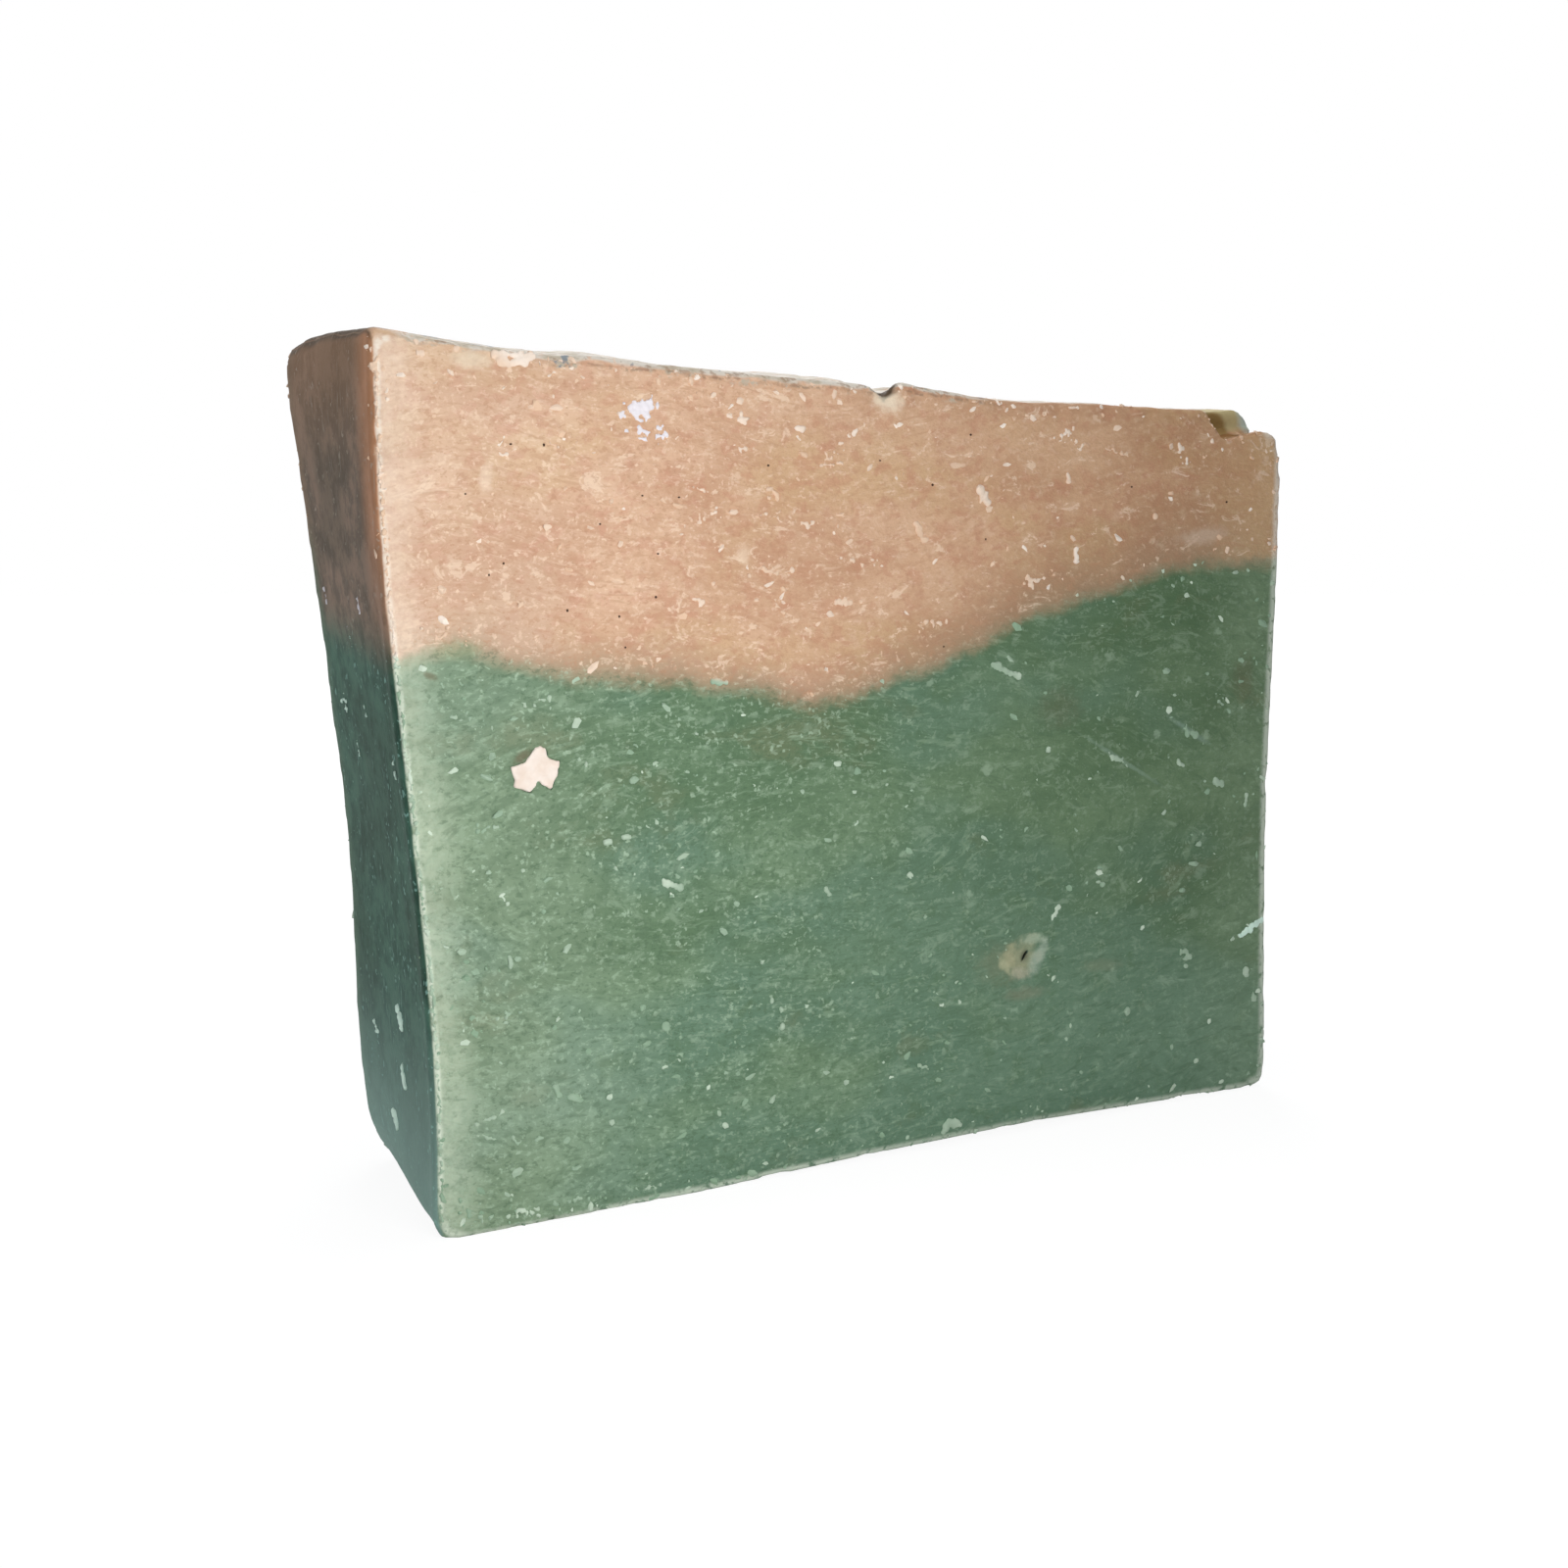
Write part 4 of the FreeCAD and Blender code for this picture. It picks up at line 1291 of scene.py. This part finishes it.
# How dark the table shows the part's shadow, how white it is, and how far out the shadow fades
SHADOW_SHARE = 0.14
WHITE_LEVEL = 1.08
SHADOW_REACH = (60, 260)


def make_table():
    shape = bmesh.new()
    bmesh.ops.create_circle(shape, cap_ends=True, segments=96, radius=TABLE_RADIUS)
    table = new_object("table", mesh_from([shape], "table"))
    r = Recipe("white_table")
    plain = r.step("ShaderNodeBsdfDiffuse", {0: (0.8, 0.8, 0.8, 1)})
    white = r.step("ShaderNodeEmission", {0: (1, 1, 1, 1), 1: WHITE_LEVEL})
    faded = r.rise(r.length(r.place), *SHADOW_REACH)
    shown = r.plus(1 - SHADOW_SHARE, r.times(faded, SHADOW_SHARE))
    share = r.times(camera_or_mirror(r.tree), shown)
    mixed = r.step("ShaderNodeMixShader", {0: share, 1: plain, 2: white})
    r.tree.links.new(mixed, r.output.inputs[0])
    table.data.materials.append(r.material)


def make_world():
    world = bpy.data.worlds.new("white_room")
    bpy.context.scene.world = world
    world.use_nodes = True
    tree = world.node_tree
    tree.nodes.clear()
    light = wired(tree, "ShaderNodeBackground", {0: (*AMBIENT, 1)})
    seen = wired(tree, "ShaderNodeBackground", {0: (1, 1, 1, 1)})
    mixed = wired(tree, "ShaderNodeMixShader", {
        0: camera_or_mirror(tree), 1: light.outputs[0], 2: seen.outputs[0],
    })
    output = tree.nodes.new("ShaderNodeOutputWorld")
    tree.links.new(mixed.outputs[0], output.inputs[0])


def lamp(name, place, aim, width, height, level):
    """A soft lamp. level is how bright it makes a white card held at its aim, facing it."""
    light = bpy.data.lights.new(name, "AREA")
    light.shape = "RECTANGLE"
    light.size = width * MM
    light.size_y = height * MM
    towards = Vector(aim) - Vector(place)
    light.energy = level * math.pi ** 2 * (towards.length * MM) ** 2
    piece = bpy.data.objects.new(name, light)
    piece.location = Vector(place) * MM
    piece.rotation_euler = towards.to_track_quat("-Z", "Y").to_euler()
    piece.visible_camera = False
    bpy.context.scene.collection.objects.link(piece)


CAMERA_PLACE = (-105.6, -164.2, 56.0)
CAMERA_HEADING = 32.02
CAMERA_DOWN = 6.97
CAMERA_LENS = 49.48


def make_camera():
    data = bpy.data.cameras.new("camera")
    data.lens = CAMERA_LENS
    data.sensor_width = 36
    data.clip_start = 0.01
    piece = bpy.data.objects.new("camera", data)
    piece.location = Vector(CAMERA_PLACE) * MM
    piece.rotation_euler = (math.radians(90 - CAMERA_DOWN), 0, -math.radians(CAMERA_HEADING))
    bpy.context.scene.collection.objects.link(piece)
    bpy.context.scene.camera = piece


make_table()
make_world()
lamp("front_lamp", (LEFT + 10, FRONT - 88, 45), (LEFT + 10, FRONT, 36), 50, 110, 1.02)
lamp("back_lamp", (RIGHT + 90, BACK + 220, 160), (0, BACK, 35), 160, 160, 0.6)
lamp("side_lamp", (LEFT - 250, BACK + 30, 110), (LEFT, 0, 35), 90, 90, 0.22)
lamp("top_lamp", (0, 0, 330), (0, 0, 70), 140, 140, 0.5)
make_camera()
bpy.context.scene.view_settings.view_transform = "Standard"
